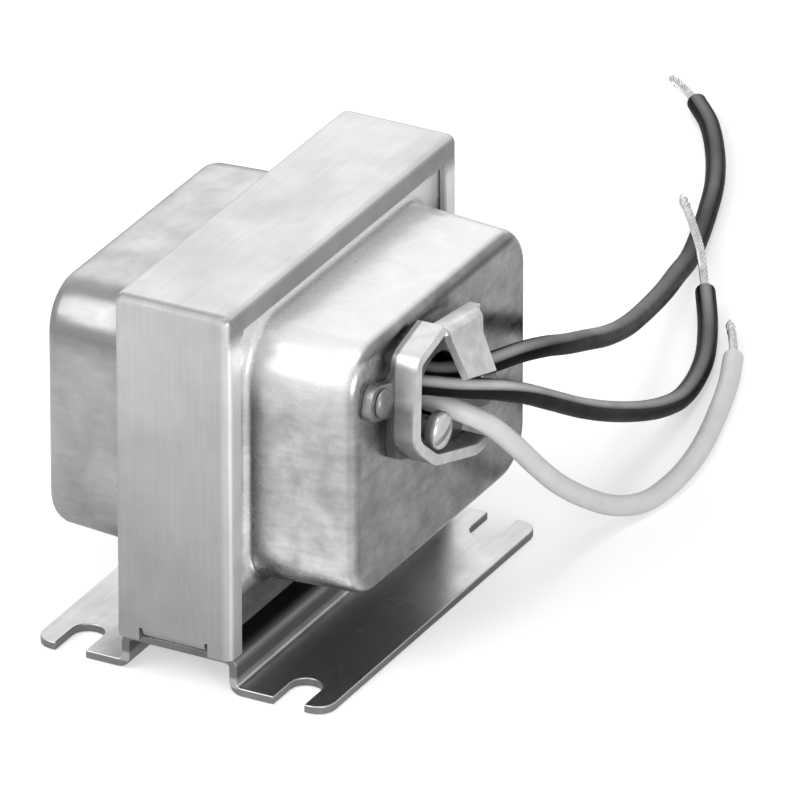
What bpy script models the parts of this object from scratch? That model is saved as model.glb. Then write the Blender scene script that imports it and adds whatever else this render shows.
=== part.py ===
# Signaling transformer: a small foot-mounted bell transformer with a knockout clamp and three leads.
# Metres, +Z up, front face towards -Y, the feet stand on z = 0.
import math

import bmesh
import bpy
from mathutils import Matrix, Vector

MM = 0.001

# Clearance left between pieces that touch on the real product
GAP = 0.3 * MM
# Room kept between a joint or wire and what it passes through
HOLE_CLEARANCE = 0.3 * MM
# Slack on a cutter, so that it runs past the face it cuts
CUT_SLACK = 1.0 * MM

# Laminated core, one E stack and one I stack
LAMINATION_WIDTH = 57.4 * MM
LAMINATION_HEIGHT = 44.5 * MM
STACK_DEPTH = 11.9 * MM
CENTRE_LEG_WIDTH = 19.0 * MM
# The outer leg is this share of the width, as on a standard lamination
OUTER_LEG_SHARE = 0.1655
YOKE_HEIGHT = 9.5 * MM
CORE_EDGE = 0.25 * MM

# Channel strap over the top and both ends of the core
STRAP_THICKNESS = 1.0 * MM
STRAP_LIP = 3.0 * MM
STRAP_LIP_BEND = 1.1 * MM
STRAP_CORNER_BEND = 1.15 * MM
STRAP_NOTCH = 0.6 * MM
STRAP_TAB_WIDTH = 8.8 * MM
STRAP_TAB_LENGTH = 6.0 * MM
STRAP_TAB_BEND = 1.5 * MM
STRAP_TAB_RELIEF = 0.4 * MM

# Hat-shaped base bracket with a foot along the front and the back
BRACKET_THICKNESS = 1.1 * MM
BRACKET_LENGTH = 57.0 * MM
BRACKET_HEIGHT = 5.2 * MM
FOOT_WIDTH = 12.6 * MM
FOOT_CORNER = 2.4 * MM
BRACKET_INNER_BEND = 0.5 * MM
SLOT_WIDTH = 4.3 * MM
SLOT_DEPTH = 6.6 * MM
SLOT_CENTRE_FROM_EDGE = 5.3 * MM

# Drawn steel end bells
BELL_THICKNESS = 0.6 * MM
BELL_ROOT_WIDTH = 47.6 * MM
BELL_ROOT_HEIGHT = 35.9 * MM
BELL_DEPTH = 14.9 * MM
BELL_DRAFT = 0.8 * MM
BELL_CORNER = 7.0 * MM
BELL_NOSE = 1.6 * MM
BELL_ROOT_FILLET = 1.1 * MM
BELL_BELOW_STRAP_TOP = 4.8 * MM
FLANGE_UNDER_LIP = 1.3 * MM
FLANGE_BELOW_BELL = 3.0 * MM
FLANGE_CORNER = 2.5 * MM

# Two-section bobbin and its windings
BOBBIN_WALL = 0.8 * MM
BOBBIN_FLANGE = 0.8 * MM
BOBBIN_DEPTH = 29.2 * MM
WRAP_THICKNESS = 0.4 * MM
WRAP_BELOW_FLANGE = 0.2 * MM
WINDING_CORNER = 3.0 * MM

# Knockout clamp on the front bell, in a frame turned about the front axis
CLAMP_X = -4.9 * MM
CLAMP_ABOVE_BELL_CENTRE = 5.5 * MM
CLAMP_TILT = -16.0
CLAMP_SHEET = 1.0 * MM
COLLAR_DEPTH = 4.2 * MM
COLLAR_WALL = 1.4 * MM
EAR_REACH_LEFT = 16.8 * MM
EAR_REACH_RIGHT = 17.6 * MM
EAR_LEFT_HALF_WIDTH = 2.3 * MM
EAR_RIGHT_HALF_WIDTH = 3.1 * MM
EAR_LEFT_CENTRE_V = 0.4 * MM
EAR_RIGHT_CENTRE_V = -1.0 * MM
EAR_HOLE_FROM_TIP = 2.9 * MM
JAW_PLATE_LEFT_U = -4.3 * MM
JAW_PLATE_RIGHT_U = 6.6 * MM
JAW_TONGUE_LEFT_U = -3.4 * MM
JAW_TONGUE_RIGHT_U = 5.2 * MM
JAW_TONGUE_TAPER = 1.0 * MM
JAW_PLATE_TOP_V = 9.6 * MM
JAW_PLATE_SLOPE = 0.16
JAW_KNEE_DEPTH = 3.9 * MM
JAW_CREASE_DEPTH = 4.4 * MM
JAW_CREASE_V = 7.6 * MM
JAW_TIP_DEPTH = 6.9 * MM
JAW_TIP_V = 3.2 * MM
JAW_BEND = 1.3 * MM
CLAMP_SCREW_U = -2.3 * MM
CLAMP_SCREW_V = -4.1 * MM
CLAMP_SCREW_SHANK = 3.0 * MM
CLAMP_SCREW_HEAD = 4.9 * MM
CLAMP_SCREW_HEAD_HEIGHT = 1.9 * MM
CLAMP_SCREW_HEAD_DEPTH = 4.9 * MM
CLAMP_SCREW_TAIL = 1.8 * MM
SCREW_SLOT_WIDTH = 0.9 * MM
SCREW_SLOT_DEPTH = 0.8 * MM
RIVET_SHANK = 2.2 * MM
RIVET_HEAD = 3.8 * MM
RIVET_HEAD_HEIGHT = 0.8 * MM
RIVET_TAIL = 3.2 * MM
RIVET_TAIL_HEIGHT = 0.7 * MM

# Leads, their bare ends and the splices inside the front bell
LEAD_DIAMETER = 2.7 * MM
CONDUCTOR_DIAMETER = 1.2 * MM
LEAD_HOLE_DIAMETER = 9.8 * MM
LEAD_HOLE_X = -3.7 * MM
LEAD_HOLE_ABOVE_CLAMP = -0.2 * MM
SPLICE_DIAMETER = 3.3 * MM
SPLICE_LENGTH = 2.6 * MM
TAIL_DIAMETER = 0.8 * MM

# Terminal board on the back bell
BOARD_WIDTH = 22.0 * MM
BOARD_HEIGHT = 20.0 * MM
BOARD_THICKNESS = 1.6 * MM
BOARD_CORNER = 1.6 * MM
TERMINAL_SPACING = 11.0 * MM
PLATE_WIDTH = 6.6 * MM
PLATE_HEIGHT = 8.6 * MM
PLATE_THICKNESS = 0.8 * MM
PLATE_TONGUE_WIDTH = 3.4 * MM
PLATE_TONGUE_FROM_TAIL = 2.05 * MM
TERMINAL_HEAD = 6.0 * MM
TERMINAL_HEAD_HEIGHT = 1.8 * MM
TERMINAL_SHANK = 3.0 * MM

# Places that follow from the sizes above
OUTER_LEG_WIDTH = LAMINATION_WIDTH * OUTER_LEG_SHARE
CORE_FACE = STACK_DEPTH / 2
FLANGE_FACE = CORE_FACE + GAP + BELL_THICKNESS
STRAP_HALF_DEPTH = FLANGE_FACE + GAP + STRAP_THICKNESS
BELL_FACE = FLANGE_FACE + BELL_DEPTH
STRAP_HALF_WIDTH = LAMINATION_WIDTH / 2 + GAP + STRAP_THICKNESS
TAB_UNDERSIDE = BRACKET_HEIGHT + GAP
CORE_BOTTOM = TAB_UNDERSIDE + STRAP_THICKNESS + GAP
CORE_TOP = CORE_BOTTOM + LAMINATION_HEIGHT
STRAP_TOP = CORE_TOP + GAP + STRAP_THICKNESS
WINDOW_BOTTOM = CORE_BOTTOM + YOKE_HEIGHT
WINDOW_TOP = CORE_TOP - YOKE_HEIGHT
WINDOW_HALF_WIDTH = LAMINATION_WIDTH / 2 - OUTER_LEG_WIDTH
BELL_TOP = STRAP_TOP - BELL_BELOW_STRAP_TOP
BELL_CENTRE_Z = BELL_TOP - BELL_ROOT_HEIGHT / 2
FOOT_REACH = STRAP_HALF_DEPTH + FOOT_WIDTH
CLAMP_Z = BELL_CENTRE_Z + CLAMP_ABOVE_BELL_CENTRE
LEAD_HOLE_Z = CLAMP_Z + LEAD_HOLE_ABOVE_CLAMP
BOBBIN_BOTTOM = WINDOW_BOTTOM + GAP
BOBBIN_TOP = WINDOW_TOP - GAP
SECTION_HEIGHT = (BOBBIN_TOP - BOBBIN_BOTTOM - 3 * BOBBIN_FLANGE) / 2
BOARD_FACE = BELL_FACE + GAP + BOARD_THICKNESS
PLATE_FACE = BOARD_FACE + GAP + PLATE_THICKNESS
COLLAR_BACK = BELL_FACE + GAP
FRONT_REACH = COLLAR_BACK + JAW_TIP_DEPTH
BACK_REACH = PLATE_FACE + GAP + TERMINAL_HEAD_HEIGHT
# The model stands with the middle of its rigid body over the origin
CENTRE_Y = (FRONT_REACH - BACK_REACH) / 2

ARC_STEPS = 4
ROUND_STEPS = 24


def clear_scene():
    for item in list(bpy.data.objects):
        bpy.data.objects.remove(item, do_unlink=True)
    for group in list(bpy.data.collections):
        bpy.data.collections.remove(group)


def new_collection(name):
    group = bpy.data.collections.new(name)
    bpy.context.scene.collection.children.link(group)
    return group


def make_material(name, colour, roughness, metallic):
    finish = bpy.data.materials.new(name)
    finish.use_nodes = True
    shader = finish.node_tree.nodes["Principled BSDF"]
    shader.inputs["Base Color"].default_value = (*colour, 1.0)
    shader.inputs["Roughness"].default_value = roughness
    shader.inputs["Metallic"].default_value = metallic
    finish.diffuse_color = (*colour, 1.0)
    return finish


clear_scene()
PARTS = new_collection("signaling_transformer")
CUTTERS = new_collection("cutters")
FRAME = bpy.data.objects.new("transformer_frame", None)
FRAME.location = (0.0, CENTRE_Y, 0.0)
PARTS.objects.link(FRAME)
bpy.context.view_layer.update()

FINISHES = {
    "tinned_steel": ((0.72, 0.72, 0.71), 0.3, 1.0),
    "lamination_steel": ((0.24, 0.24, 0.25), 0.5, 0.9),
    "zinc_plate": ((0.78, 0.78, 0.77), 0.35, 1.0),
    "nylon": ((0.8, 0.77, 0.68), 0.5, 0.0),
    "copper_wire": ((0.6, 0.28, 0.13), 0.35, 1.0),
    "insulating_tape": ((0.72, 0.66, 0.42), 0.6, 0.0),
    "black_vinyl": ((0.03, 0.03, 0.03), 0.45, 0.0),
    "white_vinyl": ((0.85, 0.85, 0.84), 0.45, 0.0),
    "tinned_copper": ((0.75, 0.73, 0.7), 0.35, 1.0),
    "phenolic_board": ((0.19, 0.1, 0.06), 0.6, 0.0),
    "brass_plate": ((0.7, 0.53, 0.25), 0.35, 1.0),
}


def finish_of(node, kind):
    colour, roughness, metallic = FINISHES[kind]
    return make_material(node + "_" + kind, colour, roughness, metallic)


def add_part(name, mesh, kind, smooth_angle=35.0):
    mesh.name = name
    part = bpy.data.objects.new(name, mesh)
    PARTS.objects.link(part)
    part.parent = FRAME
    mesh.materials.clear()
    mesh.materials.append(finish_of(name, kind))
    mesh.shade_smooth()
    mesh.set_sharp_from_angle(angle=math.radians(smooth_angle))
    return part


def add_cutter(name, mesh):
    mesh.name = name
    cutter = bpy.data.objects.new(name, mesh)
    CUTTERS.objects.link(cutter)
    cutter.parent = FRAME
    cutter.hide_render = True
    cutter.display_type = "WIRE"
    return cutter


def combine(part, other, operation):
    step = part.modifiers.new(operation.lower() + "_" + other.name, "BOOLEAN")
    step.operation = operation
    step.solver = "EXACT"
    step.object = other


def evaluated_mesh(item):
    bpy.context.view_layer.update()
    graph = bpy.context.evaluated_depsgraph_get()
    return bpy.data.meshes.new_from_object(item.evaluated_get(graph), depsgraph=graph)


def weld(mesh):
    work = bmesh.new()
    work.from_mesh(mesh)
    bmesh.ops.remove_doubles(work, verts=work.verts, dist=0.002 * MM)
    bmesh.ops.recalc_face_normals(work, faces=work.faces)
    work.to_mesh(mesh)
    work.free()
    return mesh


def fillet_path(corners, closed=False):
    """Points along a line of (x, y, radius) corners, each with the unit normal on its right-hand side."""
    count = len(corners)
    path = []
    for index, (x, y, radius) in enumerate(corners):
        here = Vector((x, y))
        is_end = not closed and index in (0, count - 1)
        before = Vector(corners[index - 1][:2])
        after = Vector(corners[(index + 1) % count][:2])
        arriving = (here - before).normalized()
        leaving = (after - here).normalized()
        if is_end:
            heading = leaving if index == 0 else arriving
            path.append((here, Vector((heading.y, -heading.x))))
            continue
        turn = arriving.angle_signed(leaving, 0.0)
        if radius <= 0.0 or abs(turn) < 1e-6:
            heading = (arriving + leaving).normalized()
            path.append((here, Vector((heading.y, -heading.x))))
            continue
        reach = radius * math.tan(abs(turn) / 2)
        start = here - arriving * reach
        side = 1.0 if turn > 0 else -1.0
        centre = start + Vector((arriving.y, -arriving.x)) * radius * side
        steps = max(2, round(ARC_STEPS * abs(turn) / (math.pi / 2)))
        for step in range(steps + 1):
            spin = Matrix.Rotation(-turn * step / steps, 2)
            point = centre + spin @ (start - centre)
            heading = spin @ arriving
            path.append((point, Vector((heading.y, -heading.x))))
    return path


def outline(corners):
    return [point for point, _ in fillet_path(corners, closed=True)]


def rounded_rectangle(half_width, half_height, radius, centre=(0.0, 0.0)):
    cx, cy = centre
    return outline(
        [
            (cx - half_width, cy - half_height, radius),
            (cx + half_width, cy - half_height, radius),
            (cx + half_width, cy + half_height, radius),
            (cx - half_width, cy + half_height, radius),
        ]
    )


def circle(radius, centre=(0.0, 0.0), steps=ROUND_STEPS):
    points = []
    for step in range(steps):
        angle = 2 * math.pi * step / steps
        points.append(Vector((centre[0] + radius * math.cos(angle), centre[1] + radius * math.sin(angle))))
    return points


def plate_mesh(outlines, low, high, turn):
    """A flat plate from closed outlines, holes among them, between two heights, then placed by a matrix."""
    curve = bpy.data.curves.new("outline", "CURVE")
    curve.dimensions = "2D"
    curve.fill_mode = "BOTH"
    curve.extrude = (high - low) / 2
    for points in outlines:
        spline = curve.splines.new("POLY")
        spline.points.add(len(points) - 1)
        spline.use_cyclic_u = True
        for target, point in zip(spline.points, points):
            target.co = (point[0], point[1], 0.0, 1.0)
    holder = bpy.data.objects.new("outline", curve)
    bpy.context.scene.collection.objects.link(holder)
    mesh = evaluated_mesh(holder)
    bpy.data.objects.remove(holder)
    bpy.data.curves.remove(curve)
    mesh.transform(turn @ Matrix.Translation((0.0, 0.0, (low + high) / 2)))
    return weld(mesh)


UPRIGHT = Matrix.Identity(4)
# Turns a flat outline's x, y into X, Z, with its height running towards the front
FACING_FRONT = Matrix.Rotation(math.pi / 2, 4, "X")
# The clamp's own frame: u to the right and down, v up, height towards the front
CLAMP_FRAME = (
    Matrix.Translation((CLAMP_X, 0.0, CLAMP_Z))
    @ Matrix.Rotation(math.radians(-CLAMP_TILT), 4, "Y")
    @ FACING_FRONT
)


def turned_mesh(profile, turn, steps=ROUND_STEPS):
    """A turned piece: (radius, height) points from the top of the axis down its outer side."""
    work = bmesh.new()
    previous = None
    for radius, height in profile:
        vertex = work.verts.new((radius, 0.0, height))
        if previous:
            work.edges.new((previous, vertex))
        previous = vertex
    mesh = bpy.data.meshes.new("profile")
    work.to_mesh(mesh)
    work.free()
    holder = bpy.data.objects.new("profile", mesh)
    bpy.context.scene.collection.objects.link(holder)
    screw = holder.modifiers.new("turn", "SCREW")
    screw.axis = "Z"
    screw.steps = steps
    screw.render_steps = steps
    screw.use_merge_vertices = True
    screw.merge_threshold = 0.001 * MM
    solid = evaluated_mesh(holder)
    bpy.data.objects.remove(holder)
    solid.transform(turn)
    return weld(solid)


def box_mesh(low, high, turn=UPRIGHT):
    work = bmesh.new()
    bmesh.ops.create_cube(work, size=1.0)
    size = Vector(high) - Vector(low)
    middle = (Vector(high) + Vector(low)) / 2
    bmesh.ops.scale(work, vec=size, verts=work.verts)
    bmesh.ops.translate(work, vec=middle, verts=work.verts)
    mesh = bpy.data.meshes.new("box")
    work.to_mesh(mesh)
    work.free()
    mesh.transform(turn)
    return mesh


def folded_mesh(columns, rows, place, keep):
    """A bent sheet's outer face: a grid whose corners are placed by a rule, less the faces not kept."""
    work = bmesh.new()
    bmesh.ops.create_grid(work, x_segments=columns - 1, y_segments=rows - 1, size=1.0)
    where = {}
    for vertex in work.verts:
        column = round((vertex.co.x + 1) / 2 * (columns - 1))
        row = round((vertex.co.y + 1) / 2 * (rows - 1))
        where[vertex] = (column, row)
    dropped = []
    for face in work.faces:
        column = min(where[corner][0] for corner in face.verts)
        row = min(where[corner][1] for corner in face.verts)
        if not keep(column, row):
            dropped.append(face)
    for vertex, (column, row) in where.items():
        vertex.co = place(column, row)
    bmesh.ops.delete(work, geom=dropped, context="FACES")
    mesh = bpy.data.meshes.new("sheet")
    work.to_mesh(mesh)
    work.free()
    return mesh


def thicken(part, thickness):
    wall = part.modifiers.new("sheet_thickness", "SOLIDIFY")
    wall.thickness = thickness
    wall.offset = -1.0
    wall.use_quality_normals = True


def bevel_edges(part, width, segments=2, angle=40.0):
    rounding = part.modifiers.new("rounded_edges", "BEVEL")
    rounding.width = width
    rounding.segments = segments
    rounding.limit_method = "ANGLE"
    rounding.angle_limit = math.radians(angle)


def build_core():
    half = LAMINATION_WIDTH / 2
    leg = CENTRE_LEG_WIDTH / 2
    leg_top = WINDOW_TOP - GAP
    e_shape = [
        (-half, CORE_BOTTOM),
        (half, CORE_BOTTOM),
        (half, leg_top),
        (WINDOW_HALF_WIDTH, leg_top),
        (WINDOW_HALF_WIDTH, WINDOW_BOTTOM),
        (leg, WINDOW_BOTTOM),
        (leg, leg_top),
        (-leg, leg_top),
        (-leg, WINDOW_BOTTOM),
        (-WINDOW_HALF_WIDTH, WINDOW_BOTTOM),
        (-WINDOW_HALF_WIDTH, leg_top),
        (-half, leg_top),
    ]
    e_stack = plate_mesh([e_shape], -CORE_FACE, CORE_FACE, FACING_FRONT)
    bevel_edges(add_part("core_e_stack", e_stack, "lamination_steel"), CORE_EDGE, 1)
    i_stack = box_mesh((-half, -CORE_FACE, WINDOW_TOP), (half, CORE_FACE, CORE_TOP))
    bevel_edges(add_part("core_i_stack", i_stack, "lamination_steel"), CORE_EDGE, 1)


def build_bobbin():
    inner_x = CENTRE_LEG_WIDTH / 2 + GAP
    inner_y = CORE_FACE + GAP
    tube_x = inner_x + BOBBIN_WALL
    tube_y = inner_y + BOBBIN_WALL
    inside = rounded_rectangle(inner_x, inner_y, 0.0)
    outside = rounded_rectangle(tube_x, tube_y, 0.6 * MM)
    tube = plate_mesh([outside, inside], BOBBIN_BOTTOM, BOBBIN_TOP, UPRIGHT)
    bobbin = add_part("coil_bobbin", tube, "nylon")
    flange_x = WINDOW_HALF_WIDTH - GAP
    flange_outline = rounded_rectangle(flange_x, BOBBIN_DEPTH / 2, WINDING_CORNER)
    flange_hole = rounded_rectangle((inner_x + tube_x) / 2, (inner_y + tube_y) / 2, 0.0)
    for index in range(3):
        low = BOBBIN_BOTTOM + index * (SECTION_HEIGHT + BOBBIN_FLANGE)
        flange = plate_mesh([flange_outline, flange_hole], low, low + BOBBIN_FLANGE, UPRIGHT)
        combine(bobbin, add_cutter("bobbin_flange_%d" % index, flange), "UNION")
    wrap_x = flange_x - WRAP_BELOW_FLANGE
    wrap_y = BOBBIN_DEPTH / 2 - WRAP_BELOW_FLANGE
    for index, name in enumerate(("primary", "secondary")):
        low = BOBBIN_BOTTOM + BOBBIN_FLANGE + index * (SECTION_HEIGHT + BOBBIN_FLANGE) + GAP
        high = low + SECTION_HEIGHT - 2 * GAP
        wrap_inside_x = wrap_x - WRAP_THICKNESS
        wrap_inside_y = wrap_y - WRAP_THICKNESS
        coil_outside = rounded_rectangle(wrap_inside_x - GAP, wrap_inside_y - GAP, WINDING_CORNER - GAP)
        coil_inside = rounded_rectangle(tube_x + GAP, tube_y + GAP, 0.9 * MM)
        coil = plate_mesh([coil_outside, coil_inside], low, high, UPRIGHT)
        bevel_edges(add_part(name + "_winding", coil, "copper_wire"), 0.4 * MM)
        wrap_outside = rounded_rectangle(wrap_x, wrap_y, WINDING_CORNER + WRAP_THICKNESS)
        wrap_inside = rounded_rectangle(wrap_inside_x, wrap_inside_y, WINDING_CORNER)
        wrap = plate_mesh([wrap_outside, wrap_inside], low, high, UPRIGHT)
        add_part(name + "_wrap", wrap, "insulating_tape")


def strap_section():
    """Columns across the strap: (y, depth towards the core), lip edge to lip edge."""
    half = STRAP_HALF_DEPTH
    bend = fillet_path([(-half, STRAP_LIP, 0.0), (-half, 0.0, STRAP_LIP_BEND), (0.0, 0.0, 0.0)])
    columns = [(point.x, point.y) for point, _ in bend[:-1]]
    tab = STRAP_TAB_WIDTH / 2
    columns += [(-tab - STRAP_TAB_RELIEF, 0.0), (-tab, 0.0)]
    return columns + [(-y, depth) for y, depth in reversed(columns)]


def build_strap():
    half = STRAP_HALF_WIDTH
    tab_end = half - STRAP_THICKNESS - STRAP_TAB_LENGTH
    corners = [
        (-tab_end, TAB_UNDERSIDE, 0.0),
        (-half, TAB_UNDERSIDE, STRAP_TAB_BEND),
        (-half, STRAP_TOP, STRAP_CORNER_BEND),
        (half, STRAP_TOP, STRAP_CORNER_BEND),
        (half, TAB_UNDERSIDE, STRAP_TAB_BEND),
        (tab_end, TAB_UNDERSIDE, 0.0),
    ]
    bends = fillet_path(corners)
    tab_rows = ARC_STEPS + 1
    left_tab, left_corner = bends[: tab_rows + 1], bends[tab_rows + 1 : 2 * tab_rows + 1]
    right_corner, right_tab = bends[2 * tab_rows + 1 : 3 * tab_rows + 1], bends[3 * tab_rows + 1 :]
    notch = STRAP_LIP + STRAP_NOTCH
    right, left, down = Vector((1, 0)), Vector((-1, 0)), Vector((0, -1))
    leg_stop = STRAP_TOP - notch
    rows = left_tab + [(Vector((-half, leg_stop)), right)] + left_corner
    rows += [(Vector((-half + notch, STRAP_TOP)), down), (Vector((half - notch, STRAP_TOP)), down)]
    rows += right_corner + [(Vector((half, leg_stop)), left)] + right_tab
    columns = strap_section()
    last_row, last_column = len(rows) - 1, len(columns) - 1
    knee = len(left_tab) - 1
    lip_columns = (len(columns) - 4) // 2 - 1
    relief = lip_columns + 1

    def place(column, row):
        y, depth = columns[column]
        point, inward = rows[row]
        on_cheek = not relief < column < last_column - relief
        if on_cheek and min(row, last_row - row) == knee - 1:
            side = rows[knee] if row < knee else rows[last_row - knee]
            point, inward = Vector((side[0].x, BRACKET_HEIGHT)), side[1]
        x, z = point + inward * depth
        return (x, y, z)

    def keep(column, row):
        end_row = min(row, last_row - 1 - row)
        is_lip = min(column, last_column - 1 - column) < lip_columns
        is_relief = min(column, last_column - 1 - column) == relief
        is_tab = relief < column < last_column - 1 - relief
        if end_row < knee - 1:
            return is_tab
        if end_row == knee - 1:
            return not is_relief
        near_corner = knee + 1 <= end_row <= knee + 1 + tab_rows
        return not (is_lip and near_corner)

    sheet = folded_mesh(len(columns), len(rows), place, keep)
    sheet.flip_normals()
    thicken(add_part("core_strap", sheet, "tinned_steel"), STRAP_THICKNESS)


def build_bracket():
    corners = [
        (-FOOT_REACH - CUT_SLACK, BRACKET_THICKNESS, 0.0),
        (-STRAP_HALF_DEPTH, BRACKET_THICKNESS, BRACKET_INNER_BEND),
        (-STRAP_HALF_DEPTH, BRACKET_HEIGHT, BRACKET_INNER_BEND + BRACKET_THICKNESS),
        (STRAP_HALF_DEPTH, BRACKET_HEIGHT, BRACKET_INNER_BEND + BRACKET_THICKNESS),
        (STRAP_HALF_DEPTH, BRACKET_THICKNESS, BRACKET_INNER_BEND),
        (FOOT_REACH + CUT_SLACK, BRACKET_THICKNESS, 0.0),
    ]
    profile = [point for point, _ in fillet_path(corners)]
    ends = (-BRACKET_LENGTH / 2 - CUT_SLACK, BRACKET_LENGTH / 2 + CUT_SLACK)

    def place(column, row):
        return (ends[row], profile[column].x, profile[column].y)

    sheet = folded_mesh(len(profile), 2, place, lambda column, row: True)
    sheet.flip_normals()
    bracket = add_part("base_bracket", sheet, "tinned_steel")
    thicken(bracket, BRACKET_THICKNESS)
    low, high = -CUT_SLACK, BRACKET_HEIGHT + CUT_SLACK
    footprint = rounded_rectangle(BRACKET_LENGTH / 2, FOOT_REACH, FOOT_CORNER)
    keeper = add_cutter("bracket_footprint", plate_mesh([footprint], low, high, UPRIGHT))
    combine(bracket, keeper, "INTERSECT")
    slot_y = FOOT_REACH - SLOT_CENTRE_FROM_EDGE
    half = SLOT_WIDTH / 2
    for side_x in (-1, 1):
        for side_y in (-1, 1):
            edge = side_x * BRACKET_LENGTH / 2
            mouth = edge + side_x * CUT_SLACK
            end = edge - side_x * SLOT_DEPTH
            middle = side_y * slot_y
            shape = outline(
                [
                    (mouth, middle - half, 0.0),
                    (end, middle - half, half * 0.98),
                    (end, middle + half, half * 0.98),
                    (mouth, middle + half, 0.0),
                ]
            )
            name = "slot_%s_%s" % ("left" if side_x < 0 else "right", "front" if side_y < 0 else "back")
            slot = plate_mesh([shape], low, BRACKET_THICKNESS + CUT_SLACK, UPRIGHT)
            combine(bracket, add_cutter(name, slot), "DIFFERENCE")


def bell_shell():
    """The outer face of a drawn bell that opens towards +Y, with its flat flange."""
    half_x, half_z = BELL_ROOT_WIDTH / 2, BELL_ROOT_HEIGHT / 2
    work = bmesh.new()
    bmesh.ops.create_cube(work, size=2.0)
    for vertex in work.verts:
        inset = BELL_DRAFT if vertex.co.y < 0 else 0.0
        depth = -BELL_FACE if vertex.co.y < 0 else -FLANGE_FACE
        x = math.copysign(half_x - inset, vertex.co.x)
        z = BELL_CENTRE_Z + math.copysign(half_z - inset, vertex.co.z)
        vertex.co = (x, depth, z)
    running = [edge for edge in work.edges if abs(edge.verts[0].co.y - edge.verts[1].co.y) > MM]
    bmesh.ops.bevel(work, geom=running, offset=BELL_CORNER, segments=6, profile=0.5, affect="EDGES")
    nose = [edge for edge in work.edges if all(v.co.y < -BELL_FACE + 0.01 * MM for v in edge.verts)]
    bmesh.ops.bevel(work, geom=nose, offset=BELL_NOSE, segments=3, profile=0.5, affect="EDGES")
    open_face = [f for f in work.faces if all(v.co.y > -FLANGE_FACE - 0.01 * MM for v in f.verts)]
    bmesh.ops.delete(work, geom=open_face, context="FACES_ONLY")
    rim = [edge for edge in work.edges if edge.is_boundary]
    grown = bmesh.ops.extrude_edge_only(work, edges=rim)
    flange_top = STRAP_TOP - STRAP_LIP + FLANGE_UNDER_LIP
    flange_bottom = BELL_TOP - BELL_ROOT_HEIGHT - FLANGE_BELOW_BELL
    flange_half_x = STRAP_HALF_WIDTH - STRAP_LIP + FLANGE_UNDER_LIP
    flange_half_z = (flange_top - flange_bottom) / 2
    for vertex in (item for item in grown["geom"] if isinstance(item, bmesh.types.BMVert)):
        side_x = math.copysign(1.0, vertex.co.x)
        side_z = math.copysign(1.0, vertex.co.z - BELL_CENTRE_Z)
        root = Vector((side_x * (half_x - BELL_CORNER), BELL_CENTRE_Z + side_z * (half_z - BELL_CORNER)))
        spoke = (Vector((vertex.co.x, vertex.co.z)) - root).normalized()
        corner_x = side_x * (flange_half_x - FLANGE_CORNER)
        corner_z = (flange_top + flange_bottom) / 2 + side_z * (flange_half_z - FLANGE_CORNER)
        vertex.co.x = corner_x + spoke.x * FLANGE_CORNER
        vertex.co.z = corner_z + spoke.y * FLANGE_CORNER
    bmesh.ops.bevel(work, geom=rim, offset=BELL_ROOT_FILLET, segments=2, profile=0.5, affect="EDGES")
    bmesh.ops.recalc_face_normals(work, faces=work.faces)
    front = min(work.faces, key=lambda face: face.calc_center_median().y)
    if front.normal.y > 0:
        bmesh.ops.reverse_faces(work, faces=work.faces)
    mesh = bpy.data.meshes.new("bell")
    work.to_mesh(mesh)
    work.free()
    return mesh


def hole_cutter(name, radius, centre, low, high, turn):
    return add_cutter(name, plate_mesh([circle(radius, centre)], low, high, turn))


def build_bells():
    wall_low, wall_high = BELL_FACE - BELL_THICKNESS - CUT_SLACK, BELL_FACE + CUT_SLACK
    front = add_part("front_bell", bell_shell(), "tinned_steel")
    thicken(front, BELL_THICKNESS)
    hole = (LEAD_HOLE_X, LEAD_HOLE_Z)
    radius = LEAD_HOLE_DIAMETER / 2
    cutter = hole_cutter("front_bell_lead_hole", radius, hole, wall_low, wall_high, FACING_FRONT)
    combine(front, cutter, "DIFFERENCE")
    rivet_hole = RIVET_SHANK / 2 + HOLE_CLEARANCE
    for name, place in clamp_rivet_places():
        cutter = hole_cutter("front_bell_hole_" + name, rivet_hole, place, wall_low, wall_high, CLAMP_FRAME)
        combine(front, cutter, "DIFFERENCE")
    screw_hole = CLAMP_SCREW_SHANK / 2 + HOLE_CLEARANCE
    place = (CLAMP_SCREW_U, CLAMP_SCREW_V)
    cutter = hole_cutter("front_bell_screw_hole", screw_hole, place, wall_low, wall_high, CLAMP_FRAME)
    combine(front, cutter, "DIFFERENCE")
    shell = bell_shell()
    shell.transform(Matrix.Rotation(math.pi, 4, "Z"))
    back = add_part("back_bell", shell, "tinned_steel")
    thicken(back, BELL_THICKNESS)
    for name, z in board_rivet_places():
        place = (0.0, z)
        cutter = hole_cutter("back_bell_hole_" + name, rivet_hole, place, -wall_high, -wall_low, FACING_FRONT)
        combine(back, cutter, "DIFFERENCE")
    for name, x in terminal_places():
        window = rounded_rectangle(
            PLATE_WIDTH / 2 + HOLE_CLEARANCE,
            PLATE_HEIGHT / 2 + HOLE_CLEARANCE,
            0.8 * MM,
            (x, BELL_CENTRE_Z),
        )
        opening = plate_mesh([window], -wall_high, -wall_low, FACING_FRONT)
        cutter = add_cutter("back_bell_window_" + name, opening)
        combine(back, cutter, "DIFFERENCE")


def clamp_rivet_places():
    left = (EAR_HOLE_FROM_TIP - EAR_REACH_LEFT, EAR_LEFT_CENTRE_V)
    right = (EAR_REACH_RIGHT - EAR_HOLE_FROM_TIP, EAR_RIGHT_CENTRE_V)
    return (("left", left), ("right", right))


def board_rivet_places():
    reach = BOARD_HEIGHT / 2 - 2.6 * MM
    return (("upper", BELL_CENTRE_Z + reach), ("lower", BELL_CENTRE_Z - reach))


def terminal_places():
    return (("left", -TERMINAL_SPACING / 2), ("right", TERMINAL_SPACING / 2))


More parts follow.
